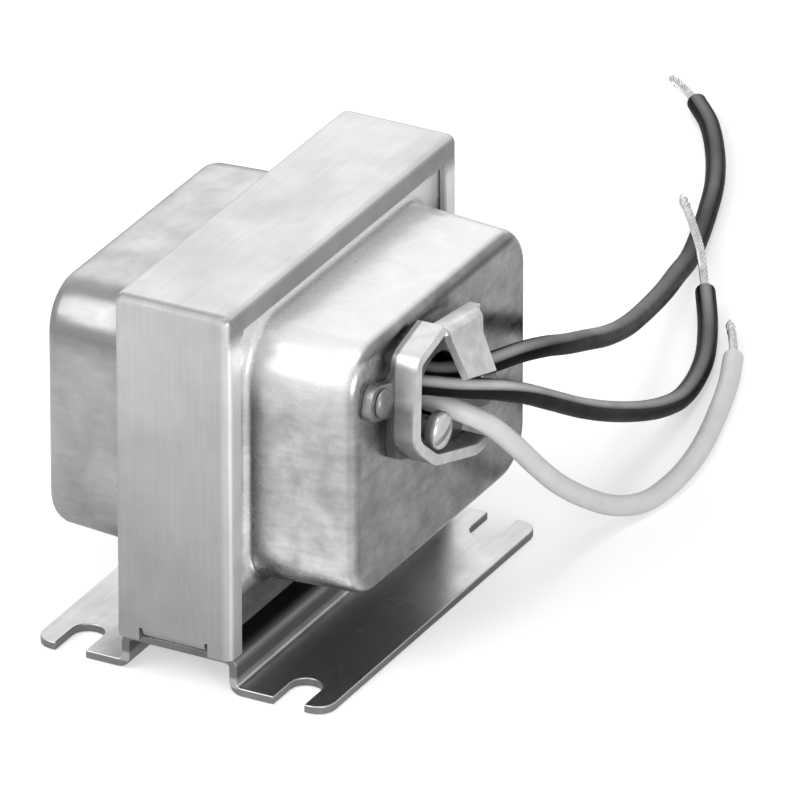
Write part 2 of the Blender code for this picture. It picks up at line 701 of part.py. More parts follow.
# The collar wall's outer face in the clamp's own frame: (u, v, bend radius), from the mouth round to the lip
COLLAR_PATH = [
    (-5.9 * MM, 9.8 * MM, 0.0),
    (-12.2 * MM, 6.0 * MM, 2.0 * MM),
    (-9.3 * MM, -5.7 * MM, 3.2 * MM),
    (-3.0 * MM, -8.5 * MM, 5.0 * MM),
    (8.4 * MM, -8.7 * MM, 2.6 * MM),
    (11.1 * MM, -7.9 * MM, 0.0),
]


def build_collar():
    """The collar is bent up from a base plate with an ear at each end."""
    left_low = EAR_LEFT_CENTRE_V - EAR_LEFT_HALF_WIDTH
    left_high = EAR_LEFT_CENTRE_V + EAR_LEFT_HALF_WIDTH
    right_low = EAR_RIGHT_CENTRE_V - EAR_RIGHT_HALF_WIDTH
    right_high = EAR_RIGHT_CENTRE_V + EAR_RIGHT_HALF_WIDTH
    base = outline(
        [
            (-EAR_REACH_LEFT, left_low, 1.6 * MM),
            (-9.6 * MM, left_low, 1.0 * MM),
            (-8.2 * MM, -8.0 * MM, 2.6 * MM),
            (9.6 * MM, -8.0 * MM, 1.2 * MM),
            (10.4 * MM, right_low, 1.0 * MM),
            (EAR_REACH_RIGHT, right_low, 1.6 * MM),
            (EAR_REACH_RIGHT, right_high, 1.6 * MM),
            (8.6 * MM, right_high, 1.6 * MM),
            (5.4 * MM, 7.6 * MM, 1.6 * MM),
            (-6.6 * MM, 7.6 * MM, 1.6 * MM),
            (-11.4 * MM, left_high, 1.2 * MM),
            (-EAR_REACH_LEFT, left_high, 1.6 * MM),
        ]
    )
    low, high = COLLAR_BACK, COLLAR_BACK + CLAMP_SHEET
    plate = plate_mesh([base], low, high, CLAMP_FRAME)
    collar = add_part("clamp_collar", plate, "zinc_plate")
    path = fillet_path(COLLAR_PATH)
    depths = (low + CLAMP_SHEET / 2, COLLAR_BACK + COLLAR_DEPTH)

    def place(column, row):
        point = path[column][0]
        return CLAMP_FRAME @ Vector((point.x, point.y, depths[row]))

    wall = add_cutter("collar_wall", folded_mesh(len(path), 2, place, lambda column, row: True))
    thicken(wall, COLLAR_WALL)
    combine(collar, wall, "UNION")
    cut_low, cut_high = low - CUT_SLACK, high + CUT_SLACK
    hole = (LEAD_HOLE_X, LEAD_HOLE_Z)
    lead_hole = hole_cutter("collar_lead_hole", LEAD_HOLE_DIAMETER / 2, hole, cut_low, cut_high, FACING_FRONT)
    combine(collar, lead_hole, "DIFFERENCE")
    for name, place_uv in clamp_rivet_places():
        radius = RIVET_SHANK / 2 + HOLE_CLEARANCE
        cutter = hole_cutter("collar_hole_" + name, radius, place_uv, cut_low, cut_high, CLAMP_FRAME)
        combine(collar, cutter, "DIFFERENCE")
    radius = CLAMP_SCREW_SHANK / 2 + HOLE_CLEARANCE
    place_uv = (CLAMP_SCREW_U, CLAMP_SCREW_V)
    screw_hole = hole_cutter("collar_screw_hole", radius, place_uv, cut_low, cut_high, CLAMP_FRAME)
    combine(collar, screw_hole, "DIFFERENCE")


def jaw_line(top):
    """(depth, v) points of the jaw's outer face for a plate at height top: plate, bend, crease, tip."""
    start = COLLAR_BACK + CLAMP_SHEET + GAP
    knee = Vector((COLLAR_BACK + JAW_KNEE_DEPTH, top))
    crease = Vector((COLLAR_BACK + JAW_CREASE_DEPTH, JAW_CREASE_V))
    fall = (crease - knee).normalized()
    turn = Vector((1.0, 0.0)).angle(fall)
    reach = JAW_BEND * math.tan(turn / 2)
    centre = knee + Vector((-reach, -JAW_BEND))
    points = [Vector((start, top))]
    for step in range(ARC_STEPS + 1):
        angle = turn * step / ARC_STEPS
        points.append(centre + Vector((math.sin(angle), math.cos(angle))) * JAW_BEND)
    points.append(crease)
    points.append(Vector((COLLAR_BACK + JAW_TIP_DEPTH, JAW_TIP_V)))
    return points


def build_jaw():
    """The loose jaw: a sloping plate over the collar's mouth, bent down, then out again into a tongue."""
    columns = [JAW_PLATE_LEFT_U, JAW_TONGUE_LEFT_U, JAW_TONGUE_RIGHT_U, JAW_PLATE_RIGHT_U]
    lines = [jaw_line(JAW_PLATE_TOP_V + JAW_PLATE_SLOPE * u) for u in columns]
    plate_rows = 1
    last_row = len(lines[0]) - 1

    def place(column, row):
        is_tip = column == 1 and row == last_row
        u = columns[column] + (JAW_TONGUE_TAPER if is_tip else 0.0)
        point = lines[column][row]
        return CLAMP_FRAME @ Vector((u, point.y, point.x))

    def keep(column, row):
        return column == 1 or row < plate_rows

    sheet = folded_mesh(len(columns), last_row + 1, place, keep)
    sheet.flip_normals()
    thicken(add_part("clamp_jaw", sheet, "zinc_plate"), CLAMP_SHEET)


def screw_profile(head_radius, head_height, shank_radius, length):
    """Round head above z = 0 with its shank below."""
    crown = head_height * 0.45
    points = [(0.0, head_height)]
    for step in range(1, 5):
        angle = math.pi / 2 * step / 4
        points.append((head_radius * math.sin(angle), head_height - crown * (1 - math.cos(angle))))
    points += [(head_radius, 0.0), (shank_radius, 0.0), (shank_radius, -length), (0.0, -length)]
    return points


def add_slotted_screw(name, kind, profile, head_top, head_radius, turn, slot_angle):
    screw = add_part(name, turned_mesh(profile, turn), kind)
    half = SCREW_SLOT_WIDTH / 2
    reach = head_radius + CUT_SLACK
    slot = box_mesh((-reach, -half, head_top - SCREW_SLOT_DEPTH), (reach, half, head_top + CUT_SLACK))
    slot.transform(turn @ Matrix.Rotation(math.radians(slot_angle), 4, "Z"))
    combine(screw, add_cutter(name + "_slot", slot), "DIFFERENCE")


def build_clamp_screw():
    seat = COLLAR_BACK + CLAMP_SCREW_HEAD_DEPTH - CLAMP_SCREW_HEAD_HEIGHT
    length = seat - (BELL_FACE - BELL_THICKNESS - CLAMP_SCREW_TAIL)
    profile = screw_profile(CLAMP_SCREW_HEAD / 2, CLAMP_SCREW_HEAD_HEIGHT, CLAMP_SCREW_SHANK / 2, length)
    turn = CLAMP_FRAME @ Matrix.Translation((CLAMP_SCREW_U, CLAMP_SCREW_V, seat))
    add_slotted_screw(
        "clamp_screw", "zinc_plate", profile, CLAMP_SCREW_HEAD_HEIGHT, CLAMP_SCREW_HEAD / 2, turn, 40.0
    )


def rivet_profile(grip):
    """Domed head above z = 0, shank through the grip, upset tail below."""
    head, tail, shank = RIVET_HEAD / 2, RIVET_TAIL / 2, RIVET_SHANK / 2
    points = [(0.0, RIVET_HEAD_HEIGHT)]
    for step in range(1, 4):
        angle = math.pi / 2 * step / 4
        points.append((head * math.sin(angle), RIVET_HEAD_HEIGHT * math.cos(angle)))
    points += [(head, 0.0), (shank, 0.0), (shank, -grip), (tail, -grip)]
    points += [(tail * 0.8, -grip - RIVET_TAIL_HEIGHT), (0.0, -grip - RIVET_TAIL_HEIGHT)]
    return points


def build_rivets():
    grip = CLAMP_SHEET + BELL_THICKNESS + 3 * GAP
    for name, (u, v) in clamp_rivet_places():
        seat = COLLAR_BACK + CLAMP_SHEET + GAP
        turn = CLAMP_FRAME @ Matrix.Translation((u, v, seat))
        add_part("clamp_rivet_" + name, turned_mesh(rivet_profile(grip), turn, 16), "zinc_plate")
    grip = BOARD_THICKNESS + BELL_THICKNESS + 3 * GAP
    for name, z in board_rivet_places():
        turn = Matrix.Translation((0.0, BOARD_FACE + GAP, z)) @ Matrix.Rotation(-math.pi / 2, 4, "X")
        add_part("board_rivet_" + name, turned_mesh(rivet_profile(grip), turn, 16), "zinc_plate")


def smooth_route(points, spacing):
    """Evenly spaced points on a Catmull-Rom curve through the chosen points."""
    ends = [points[0] * 2 - points[1]] + list(points) + [points[-1] * 2 - points[-2]]
    dense = []
    for p0, p1, p2, p3 in zip(ends, ends[1:], ends[2:], ends[3:]):
        for step in range(24):
            t = step / 24
            dense.append(
                0.5
                * (
                    2 * p1
                    + (p2 - p0) * t
                    + (2 * p0 - 5 * p1 + 4 * p2 - p3) * t * t
                    + (3 * p1 - p0 - 3 * p2 + p3) * t * t * t
                )
            )
    dense.append(points[-1].copy())
    travelled = [0.0]
    for a, b in zip(dense, dense[1:]):
        travelled.append(travelled[-1] + (b - a).length)
    count = max(2, round(travelled[-1] / spacing))
    route = []
    index = 0
    for step in range(count + 1):
        target = travelled[-1] * step / count
        while index < len(travelled) - 2 and travelled[index + 1] < target:
            index += 1
        span = travelled[index + 1] - travelled[index]
        route.append(dense[index].lerp(dense[index + 1], (target - travelled[index]) / span))
    return route


def add_wire(name, kind, points, diameter, spacing, resolution=2):
    curve = bpy.data.curves.new(name, "CURVE")
    curve.dimensions = "3D"
    curve.bevel_depth = diameter / 2
    curve.bevel_resolution = resolution
    curve.use_fill_caps = True
    route = smooth_route([Vector(p) for p in points], spacing)
    spline = curve.splines.new("POLY")
    spline.points.add(len(route) - 1)
    for target, point in zip(spline.points, route):
        target.co = (*point, 1.0)
    wire = bpy.data.objects.new(name, curve)
    PARTS.objects.link(wire)
    wire.parent = FRAME
    curve.materials.append(finish_of(name, kind))
    return wire


# Routes of the leads in millimetres, from the splice inside the bell to the end of the insulation
LEAD_UPPER_ROUTE = [
    (-2.0, -19.25, 36.5),
    (-2.0, -21.45, 36.5),
    (-0.9, -24.25, 36.8),
    (2.3, -26.75, 36.8),
    (8.2, -28.45, 36.2),
    (13.6, -29.15, 34.8),
    (20.4, -28.55, 32.0),
    (29.5, -26.65, 28.1),
    (40.0, -24.15, 23.5),
    (52.5, -20.55, 18.5),
    (67.1, -15.75, 13.2),
    (81.5, -10.95, 8.4),
    (93.35, -6.86, 4.79),
    (102.59, -3.93, 2.34),
    (110.06, -1.49, 1.45),
    (118.06, 1.21, 1.4),
    (126.16, 4.31, 1.4),
    (134.16, 8.31, 1.4),
    (141.66, 13.01, 1.4),
    (147.06, 17.71, 1.4),
]
LEAD_LOWER_ROUTE = [
    (-5.8, -19.25, 36.2),
    (-5.5, -20.85, 36.2),
    (-4.2, -23.45, 35.9),
    (-2.2, -26.05, 35.3),
    (1.9, -27.95, 33.7),
    (8.9, -28.55, 30.2),
    (17.8, -27.95, 25.1),
    (28.1, -26.85, 19.2),
    (39.4, -25.35, 13.3),
    (50.95, -23.72, 7.87),
    (59.9, -22.43, 4.26),
    (67.11, -21.22, 2.13),
    (74.16, -19.69, 1.45),
    (80.66, -17.59, 1.4),
    (88.36, -13.99, 1.6),
    (95.18, -10.13, 2.45),
]
LEAD_WHITE_ROUTE = [
    (-3.4, -19.25, 33.1),
    (-3.4, -20.85, 33.1),
    (-3.2, -23.45, 32.8),
    (-2.0, -26.15, 31.7),
    (0.9, -28.15, 29.2),
    (5.9, -28.75, 24.5),
    (12.2, -28.55, 18.7),
    (19.3, -28.05, 12.8),
    (26.79, -28.0, 7.44),
    (33.91, -28.47, 3.19),
    (39.36, -29.79, 1.5),
    (44.76, -30.49, 1.4),
    (51.56, -30.09, 1.4),
    (58.96, -28.69, 1.4),
    (66.56, -26.59, 1.4),
    (74.36, -24.09, 1.4),
    (81.56, -21.19, 1.4),
]
# Routes of the bare conductor ends
BARE_UPPER_ROUTE = [
    (147.31, 17.96, 1.4),
    (148.96, 19.91, 1.5),
    (150.26, 21.71, 1.6),
    (151.46, 23.71, 1.6),
]
BARE_LOWER_ROUTE = [
    (95.52, -9.94, 2.5),
    (97.9, -8.48, 3.3),
    (101.86, -5.95, 4.68),
    (106.4, -2.59, 5.32),
    (110.31, 0.22, 5.21),
    (113.65, 2.64, 4.79),
]
BARE_WHITE_ROUTE = [
    (81.91, -21.04, 1.4),
    (84.66, -19.59, 1.45),
    (87.26, -18.09, 1.5),
    (89.56, -16.59, 1.5),
]

LEADS = (
    ("upper", "black_vinyl", LEAD_UPPER_ROUTE, BARE_UPPER_ROUTE),
    ("lower", "black_vinyl", LEAD_LOWER_ROUTE, BARE_LOWER_ROUTE),
    ("white", "white_vinyl", LEAD_WHITE_ROUTE, BARE_WHITE_ROUTE),
)


def build_leads():
    for name, kind, route, bare_route in LEADS:
        points = [Vector(p) * MM for p in route]
        add_wire("lead_" + name, kind, points, LEAD_DIAMETER, 2.5 * LEAD_DIAMETER)
        bare = [Vector(p) * MM for p in bare_route]
        spacing = 2.0 * CONDUCTOR_DIAMETER
        add_wire("lead_" + name + "_bare_end", "tinned_copper", bare, CONDUCTOR_DIAMETER, spacing)


def build_splices():
    """A crimped sleeve joins each lead to a thin tail that runs down the coil to the primary."""
    tail_y = -BOBBIN_DEPTH / 2 - GAP - TAIL_DIAMETER / 2
    back = -tail_y + TAIL_DIAMETER / 2 + GAP
    barrel = SPLICE_DIAMETER / 2
    length = SPLICE_LENGTH
    primary_middle = BOBBIN_BOTTOM + BOBBIN_FLANGE + SECTION_HEIGHT / 2
    for name, _, route, _ in LEADS:
        inner = Vector(route[0]) * MM
        profile = [
            (0.0, length),
            (barrel * 0.85, length),
            (barrel, length * 0.9),
            (barrel, length * 0.1),
            (barrel * 0.85, 0.0),
            (0.0, 0.0),
        ]
        on_axis = Matrix.Translation((inner.x, 0.0, inner.z))
        place = on_axis @ FACING_FRONT @ Matrix.Translation((0.0, 0.0, back))
        add_part("lead_%s_splice" % name, turned_mesh(profile, place, 12), "nylon")
        top = (inner.x, tail_y, inner.z + barrel * 0.5)
        bottom = (inner.x, tail_y, primary_middle)
        add_wire("primary_tail_" + name, "copper_wire", [top, bottom], TAIL_DIAMETER, 6.0 * MM)


def build_terminals():
    corner = BOARD_CORNER
    middle = BELL_CENTRE_Z
    low, high = -BOARD_FACE, -BOARD_FACE + BOARD_THICKNESS
    holes = [circle(RIVET_SHANK / 2 + HOLE_CLEARANCE, (0.0, z), 16) for _, z in board_rivet_places()]
    tongue_z = middle - PLATE_HEIGHT / 2 + PLATE_THICKNESS / 2
    for _, x in terminal_places():
        holes.append(circle(TERMINAL_SHANK / 2 + HOLE_CLEARANCE, (x, middle), 16))
        slot_half_width = PLATE_TONGUE_WIDTH / 2 + HOLE_CLEARANCE
        slot_half_height = PLATE_THICKNESS / 2 + HOLE_CLEARANCE
        holes.append(rounded_rectangle(slot_half_width, slot_half_height, 0.0, (x, tongue_z)))
    board_outline = rounded_rectangle(BOARD_WIDTH / 2, BOARD_HEIGHT / 2, corner, (0.0, middle))
    board = plate_mesh([board_outline] + holes, low, high, FACING_FRONT)
    add_part("terminal_board", board, "phenolic_board")
    tail_y = BOBBIN_DEPTH / 2 + GAP + TAIL_DIAMETER / 2
    secondary_middle = BOBBIN_TOP - BOBBIN_FLANGE - SECTION_HEIGHT / 2
    for name, x in terminal_places():
        face = rounded_rectangle(PLATE_WIDTH / 2, PLATE_HEIGHT / 2, 0.0, (x, middle))
        shank_hole = circle(TERMINAL_SHANK / 2 + HOLE_CLEARANCE, (x, middle), 16)
        plate = plate_mesh([face, shank_hole], -PLATE_FACE, -PLATE_FACE + PLATE_THICKNESS, FACING_FRONT)
        terminal = add_part("terminal_plate_" + name, plate, "brass_plate")
        half = PLATE_TONGUE_WIDTH / 2
        inner = tail_y + TAIL_DIAMETER / 2 + PLATE_TONGUE_FROM_TAIL
        tongue_low = (x - half, inner, tongue_z - PLATE_THICKNESS / 2)
        tongue_high = (x + half, PLATE_FACE - PLATE_THICKNESS / 2, tongue_z + PLATE_THICKNESS / 2)
        combine(terminal, add_cutter("plate_tongue_" + name, box_mesh(tongue_low, tongue_high)), "UNION")
        seat = PLATE_FACE + GAP
        length = seat - (BOARD_FACE - BOARD_THICKNESS)
        height = TERMINAL_HEAD_HEIGHT
        profile = screw_profile(TERMINAL_HEAD / 2, height, TERMINAL_SHANK / 2, length)
        turn = Matrix.Translation((x, seat, middle)) @ Matrix.Rotation(-math.pi / 2, 4, "X")
        angle = 20.0 if x < 0 else -35.0
        screw = "terminal_screw_" + name
        add_slotted_screw(screw, "brass_plate", profile, height, TERMINAL_HEAD / 2, turn, angle)
        top = (x, tail_y, secondary_middle)
        bottom = (x, tail_y, tongue_z)
        add_wire("secondary_tail_" + name, "copper_wire", [top, bottom], TAIL_DIAMETER, 6.0 * MM)


def main():
    build_core()
    build_bobbin()
    build_strap()
    build_bracket()
    build_bells()
    build_collar()
    build_jaw()
    build_clamp_screw()
    build_rivets()
    build_leads()
    build_splices()
    build_terminals()


main()
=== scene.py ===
# %% [markdown]
# # A signaling transformer, dressed for its picture
# A small bell transformer on a folded steel foot: a strap round its core, two drawn end bells, a clamp that
# fits a round hole in a metal box, and three loose leads. The solid model comes in as a fixed frame. This
# script adds what a solid model lacks: rounded sheet edges, drawn corners, twisted strands and real finishes.

# %% Load the frame
import math
import bmesh
import bpy
from mathutils import Matrix, Vector


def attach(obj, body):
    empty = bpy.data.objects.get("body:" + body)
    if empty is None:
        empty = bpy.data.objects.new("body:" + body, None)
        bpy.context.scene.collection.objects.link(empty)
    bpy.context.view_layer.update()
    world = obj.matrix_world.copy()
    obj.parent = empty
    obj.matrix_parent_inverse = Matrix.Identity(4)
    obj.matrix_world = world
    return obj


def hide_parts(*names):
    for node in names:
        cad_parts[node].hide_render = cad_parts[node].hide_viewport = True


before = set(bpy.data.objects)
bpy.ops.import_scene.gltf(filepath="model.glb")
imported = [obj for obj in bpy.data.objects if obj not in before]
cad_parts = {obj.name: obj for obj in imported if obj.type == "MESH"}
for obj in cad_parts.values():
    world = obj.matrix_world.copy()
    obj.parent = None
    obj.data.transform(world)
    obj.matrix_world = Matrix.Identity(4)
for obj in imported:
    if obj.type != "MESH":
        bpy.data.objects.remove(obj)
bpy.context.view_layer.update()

MM = 0.001

# %% [markdown]
# ## The camera
# The picture was taken with a long lens from the front left and above, so parallel edges stay nearly
# parallel. Azimuth, elevation and distance place the camera, and to_track_quat turns it to face its aim.

# %% Place the camera
AIM = Vector((5.67, -11.82, 26.98)) * MM
CAMERA_AZIMUTH = math.radians(-61.94)
CAMERA_ELEVATION = math.radians(26.74)
CAMERA_DISTANCE = 1.9747
LENS = 712.1


def direction(azimuth, elevation):
    """A unit vector from the object towards a place round it. Azimuth 0 is in front, 90 to its right."""
    level = math.cos(elevation)
    return Vector((math.sin(azimuth) * level, -math.cos(azimuth) * level, math.sin(elevation)))


scene = bpy.context.scene
camera = bpy.data.objects.new("camera", bpy.data.cameras.new("camera"))
scene.collection.objects.link(camera)
towards_camera = direction(CAMERA_AZIMUTH, CAMERA_ELEVATION)
camera.location = AIM + towards_camera * CAMERA_DISTANCE
camera.rotation_euler = towards_camera.to_track_quat("Z", "Y").to_euler()
camera.data.sensor_width = 36.0
camera.data.lens = LENS
camera.data.clip_start, camera.data.clip_end = 0.1, 10.0
scene.camera = camera
print("camera at", [round(v, 3) for v in camera.location])

# %% [markdown]
# ## Where the leads run
# Three leads leave the bell through the clamp and end bare. Each route is a list of places to pass, joined
# by a Catmull-Rom curve, which passes through every one of them without a corner.

# %% Lead routes in millimetres
FRAME_SHIFT = Vector((0.0, 1.05, 0.0))
LEAD_DIAMETER = 2.7
RING_SPACING, STRAND_SPACING = 1.0, 0.4
SPAN_STEPS = 24
LEAD_ROUTES = {
    "upper": [
        (-2.0, -19.25, 36.5), (-2.0, -21.45, 36.5), (-0.9, -24.25, 36.8), (2.3, -26.75, 36.8),
        (8.2, -28.45, 36.2), (13.6, -29.15, 34.8), (20.4, -28.55, 32.0), (29.5, -26.65, 28.1),
        (40.0, -24.15, 23.5), (52.5, -20.55, 18.5), (67.1, -15.75, 13.2), (81.5, -10.95, 8.4),
        (93.35, -6.86, 4.79), (102.59, -3.93, 2.34), (110.06, -1.49, 1.45), (118.06, 1.21, 1.4),
        (126.16, 4.31, 1.4), (134.16, 8.31, 1.4), (141.66, 13.01, 1.4), (147.06, 17.71, 1.4),
    ],
    "lower": [
        (-5.8, -19.25, 36.2), (-5.5, -20.85, 36.2), (-4.2, -23.45, 35.9), (-2.2, -26.05, 35.3),
        (1.9, -27.95, 33.7), (8.9, -28.55, 30.2), (17.8, -27.95, 25.1), (28.1, -26.85, 19.2),
        (39.4, -25.35, 13.3), (50.95, -23.72, 7.87), (59.9, -22.43, 4.26), (67.11, -21.22, 2.13),
        (74.16, -19.69, 1.45), (80.66, -17.59, 1.4), (88.36, -13.99, 1.6), (95.18, -10.13, 2.45),
    ],
    "white": [
        (-3.4, -19.25, 33.1), (-3.4, -20.85, 33.1), (-3.2, -23.45, 32.8), (-2.0, -26.15, 31.7),
        (0.9, -28.15, 29.2), (5.9, -28.75, 24.5), (12.2, -28.55, 18.7), (19.3, -28.05, 12.8),
        (26.79, -28.0, 7.44), (33.91, -28.47, 3.19), (39.36, -29.79, 1.5), (44.76, -30.49, 1.4),
        (51.56, -30.09, 1.4), (58.96, -28.69, 1.4), (66.56, -26.59, 1.4), (74.36, -24.09, 1.4),
        (81.56, -21.19, 1.4),
    ],
}
BARE_ROUTES = {
    "upper": [(147.06, 17.71, 1.4), (148.96, 19.91, 1.5), (150.26, 21.71, 1.6), (151.46, 23.71, 1.6)],
    "lower": [
        (95.18, -10.13, 2.45), (97.9, -8.48, 3.3), (101.86, -5.95, 4.68), (106.4, -2.59, 5.32),
        (110.31, 0.22, 5.21), (113.65, 2.64, 4.79),
    ],
    "white": [(81.56, -21.19, 1.4), (84.66, -19.59, 1.45), (87.26, -18.09, 1.5), (89.56, -16.59, 1.5)],
}


def smooth_route(places, spacing):
    """Evenly spaced points, in metres, on a smooth curve through the places in millimetres."""
    knots = [Vector(place) + FRAME_SHIFT for place in places]
    knots = [knots[0] * 2 - knots[1]] + knots + [knots[-1] * 2 - knots[-2]]
    dense = []
    for p0, p1, p2, p3 in zip(knots, knots[1:], knots[2:], knots[3:]):
        bend = 2 * p0 - 5 * p1 + 4 * p2 - p3
        sway = 3 * p1 - p0 - 3 * p2 + p3
        for step in range(SPAN_STEPS):
            t = step / SPAN_STEPS
            dense.append(0.5 * (2 * p1 + (p2 - p0) * t + bend * t ** 2 + sway * t ** 3))
    dense.append(knots[-2])
    travelled = [0.0]
    for here, there in zip(dense, dense[1:]):
        travelled.append(travelled[-1] + (there - here).length)
    count = max(2, round(travelled[-1] / spacing))
    route, index = [], 0
    for step in range(count + 1):
        target = travelled[-1] * step / count
        while index < len(travelled) - 2 and travelled[index + 1] < target:
            index += 1
        share = (target - travelled[index]) / (travelled[index + 1] - travelled[index])
        route.append(dense[index].lerp(dense[index + 1], share) * MM)
    return route


def route_length(route):
    return sum((there - here).length for here, there in zip(route, route[1:]))


# %% [markdown]
# ## Tubes swept along a route
# A curve with a bevel would do for a wire, but its end is a plain disc. Sweeping rings of vertices along the
# route lets the cut end of the insulation round over. Each ring's axes are carried on from the ring before
# by the smallest turn, so the tube never twists. Each point also notes how far it faces up and forwards, in
# an attribute that the vinyl's finish reads later to paint a highlight along the lead's upper side.

# %% Sweep a tube
# The painted highlight on the leads lies on the side that faces this way.
PAINTED_HIGHLIGHT_SIDE = direction(math.radians(-60.0), math.radians(50.0))
CUT_END_SHARE = 0.72


def swept_tube(name, route, radius, sides=20, end_rounding=0.25 * MM):
    """A closed tube along the route, its ends rounded over. Its points remember which way they face."""
    work = bmesh.new()
    upper = work.verts.layers.float.new("upper")
    middle = [(point, 1.0) for point in route]
    stations = [(route[0], CUT_END_SHARE), *middle, (route[-1], CUT_END_SHARE)]
    heading = (route[1] - route[0]).normalized()
    across = heading.orthogonal().normalized()
    rings = []
    for index, (point, share) in enumerate(stations):
        before, after = stations[max(index - 1, 0)][0], stations[min(index + 1, len(stations) - 1)][0]
        if (after - before).length > 1e-9:
            turned = (after - before).normalized()
            across = heading.rotation_difference(turned) @ across
            heading = turned
        shift = 0.0
        if index == 1:
            shift = end_rounding
        if index == len(stations) - 2:
            shift = -end_rounding
        other = heading.cross(across)
        # The side that gets the vinyl's painted highlight, square to the tube.
        painted_highlight = (PAINTED_HIGHLIGHT_SIDE - heading * PAINTED_HIGHLIGHT_SIDE.dot(heading)).normalized()
        ring = []
        for side in range(sides):
            angle = 2 * math.pi * side / sides
            spoke = across * math.cos(angle) + other * math.sin(angle)
            corner = work.verts.new(point + heading * shift + spoke * radius * share)
            corner[upper] = spoke.dot(painted_highlight)
            ring.append(corner)
        rings.append(ring)
    for ring, following in zip(rings, rings[1:]):
        for side in range(sides):
            beside = (side + 1) % sides
            work.faces.new((ring[side], ring[beside], following[beside], following[side]))
    work.faces.new(list(reversed(rings[0])))
    work.faces.new(rings[-1])
    bmesh.ops.recalc_face_normals(work, faces=work.faces)
    return as_object(name, work)


def as_object(name, work, smooth_angle=35.0):
    """A mesh object from finished mesh work, smooth where faces meet at less than the angle."""
    mesh = bpy.data.meshes.new(name)
    work.to_mesh(mesh)
    work.free()
    mesh.shade_smooth()
    mesh.set_sharp_from_angle(angle=math.radians(smooth_angle))
    item = bpy.data.objects.new(name, mesh)
    scene.collection.objects.link(item)
    return item


lead_paths = {name: smooth_route(places, RING_SPACING) for name, places in LEAD_ROUTES.items()}
leads = {
    name: swept_tube("lead_" + name + "_wire", path, LEAD_DIAMETER / 2 * MM)
    for name, path in lead_paths.items()
}
for name, path in lead_paths.items():
    print("lead", name, "is", round(route_length(path) / MM, 1), "mm long")

# %% [markdown]
# ## Bare ends of twisted strands
# The end of each lead is stripped, and its fine tinned wires are twisted together. They all repeat one
# line, so Geometry Nodes make them: the route is doubled once for each strand, every copy is moved aside
# along the curve's normal and binormal by an angle that grows along the way, and a thin circle is swept on.

# %% Helpers for node trees
def add_node(tree, kind, values=None, **settings):
    """A node with its settings, and with values for its sockets by name or number."""
    node = tree.nodes.new(kind)
    for key, value in settings.items():
        setattr(node, key, value)
    for key, value in (values or {}).items():
        socket = node.inputs[key]
        if isinstance(value, bpy.types.NodeSocket):
            tree.links.new(value, socket)
        else:
            socket.default_value = value
    return node


def math_node(tree, operation, first, second=0.0):
    return add_node(tree, "ShaderNodeMath", {0: first, 1: second}, operation=operation).outputs[0]


def vector_node(tree, operation, values):
    return add_node(tree, "ShaderNodeVectorMath", values, operation=operation).outputs[0]


def new_geometry_tree(name, inputs):
    """A geometry tree with named inputs: (name, socket type, value)."""
    tree = bpy.data.node_groups.new(name, "GeometryNodeTree")
    tree.interface.new_socket("Geometry", in_out="INPUT", socket_type="NodeSocketGeometry")
    for label, kind, value in inputs:
        socket = tree.interface.new_socket(label, in_out="INPUT", socket_type=kind)
        if value is not None:
            socket.default_value = value
    tree.interface.new_socket("Geometry", in_out="OUTPUT", socket_type="NodeSocketGeometry")
    return tree


def end_tree(tree, geometry, finish):
    """The end of a tree: instances become real geometry, and it gets its finish."""
    real = add_node(tree, "GeometryNodeRealizeInstances", {"Geometry": geometry})
    values = {"Geometry": real.outputs["Geometry"], "Material": finish}
    painted = add_node(tree, "GeometryNodeSetMaterial", values)
    result = tree.nodes.new("NodeGroupOutput")
    tree.links.new(painted.outputs["Geometry"], result.inputs["Geometry"])


def run_tree(item, tree, values):
    """Sets the tree's inputs by identifier, evaluates it, and returns a plain mesh object of the result."""
    name = item.name + "_made"
    step = item.modifiers.new("tree", "NODES")
    step.node_group = tree
    for socket in tree.interface.items_tree:
        if socket.item_type == "SOCKET" and socket.in_out == "INPUT" and socket.name in values:
            step[socket.identifier] = values[socket.name]
    item.update_tag()
    bpy.context.view_layer.update()
    graph = bpy.context.evaluated_depsgraph_get()
    mesh = bpy.data.meshes.new_from_object(item.evaluated_get(graph), depsgraph=graph)
    bpy.data.objects.remove(item)
    made = bpy.data.objects.new(name, mesh)
    scene.collection.objects.link(made)
    return made


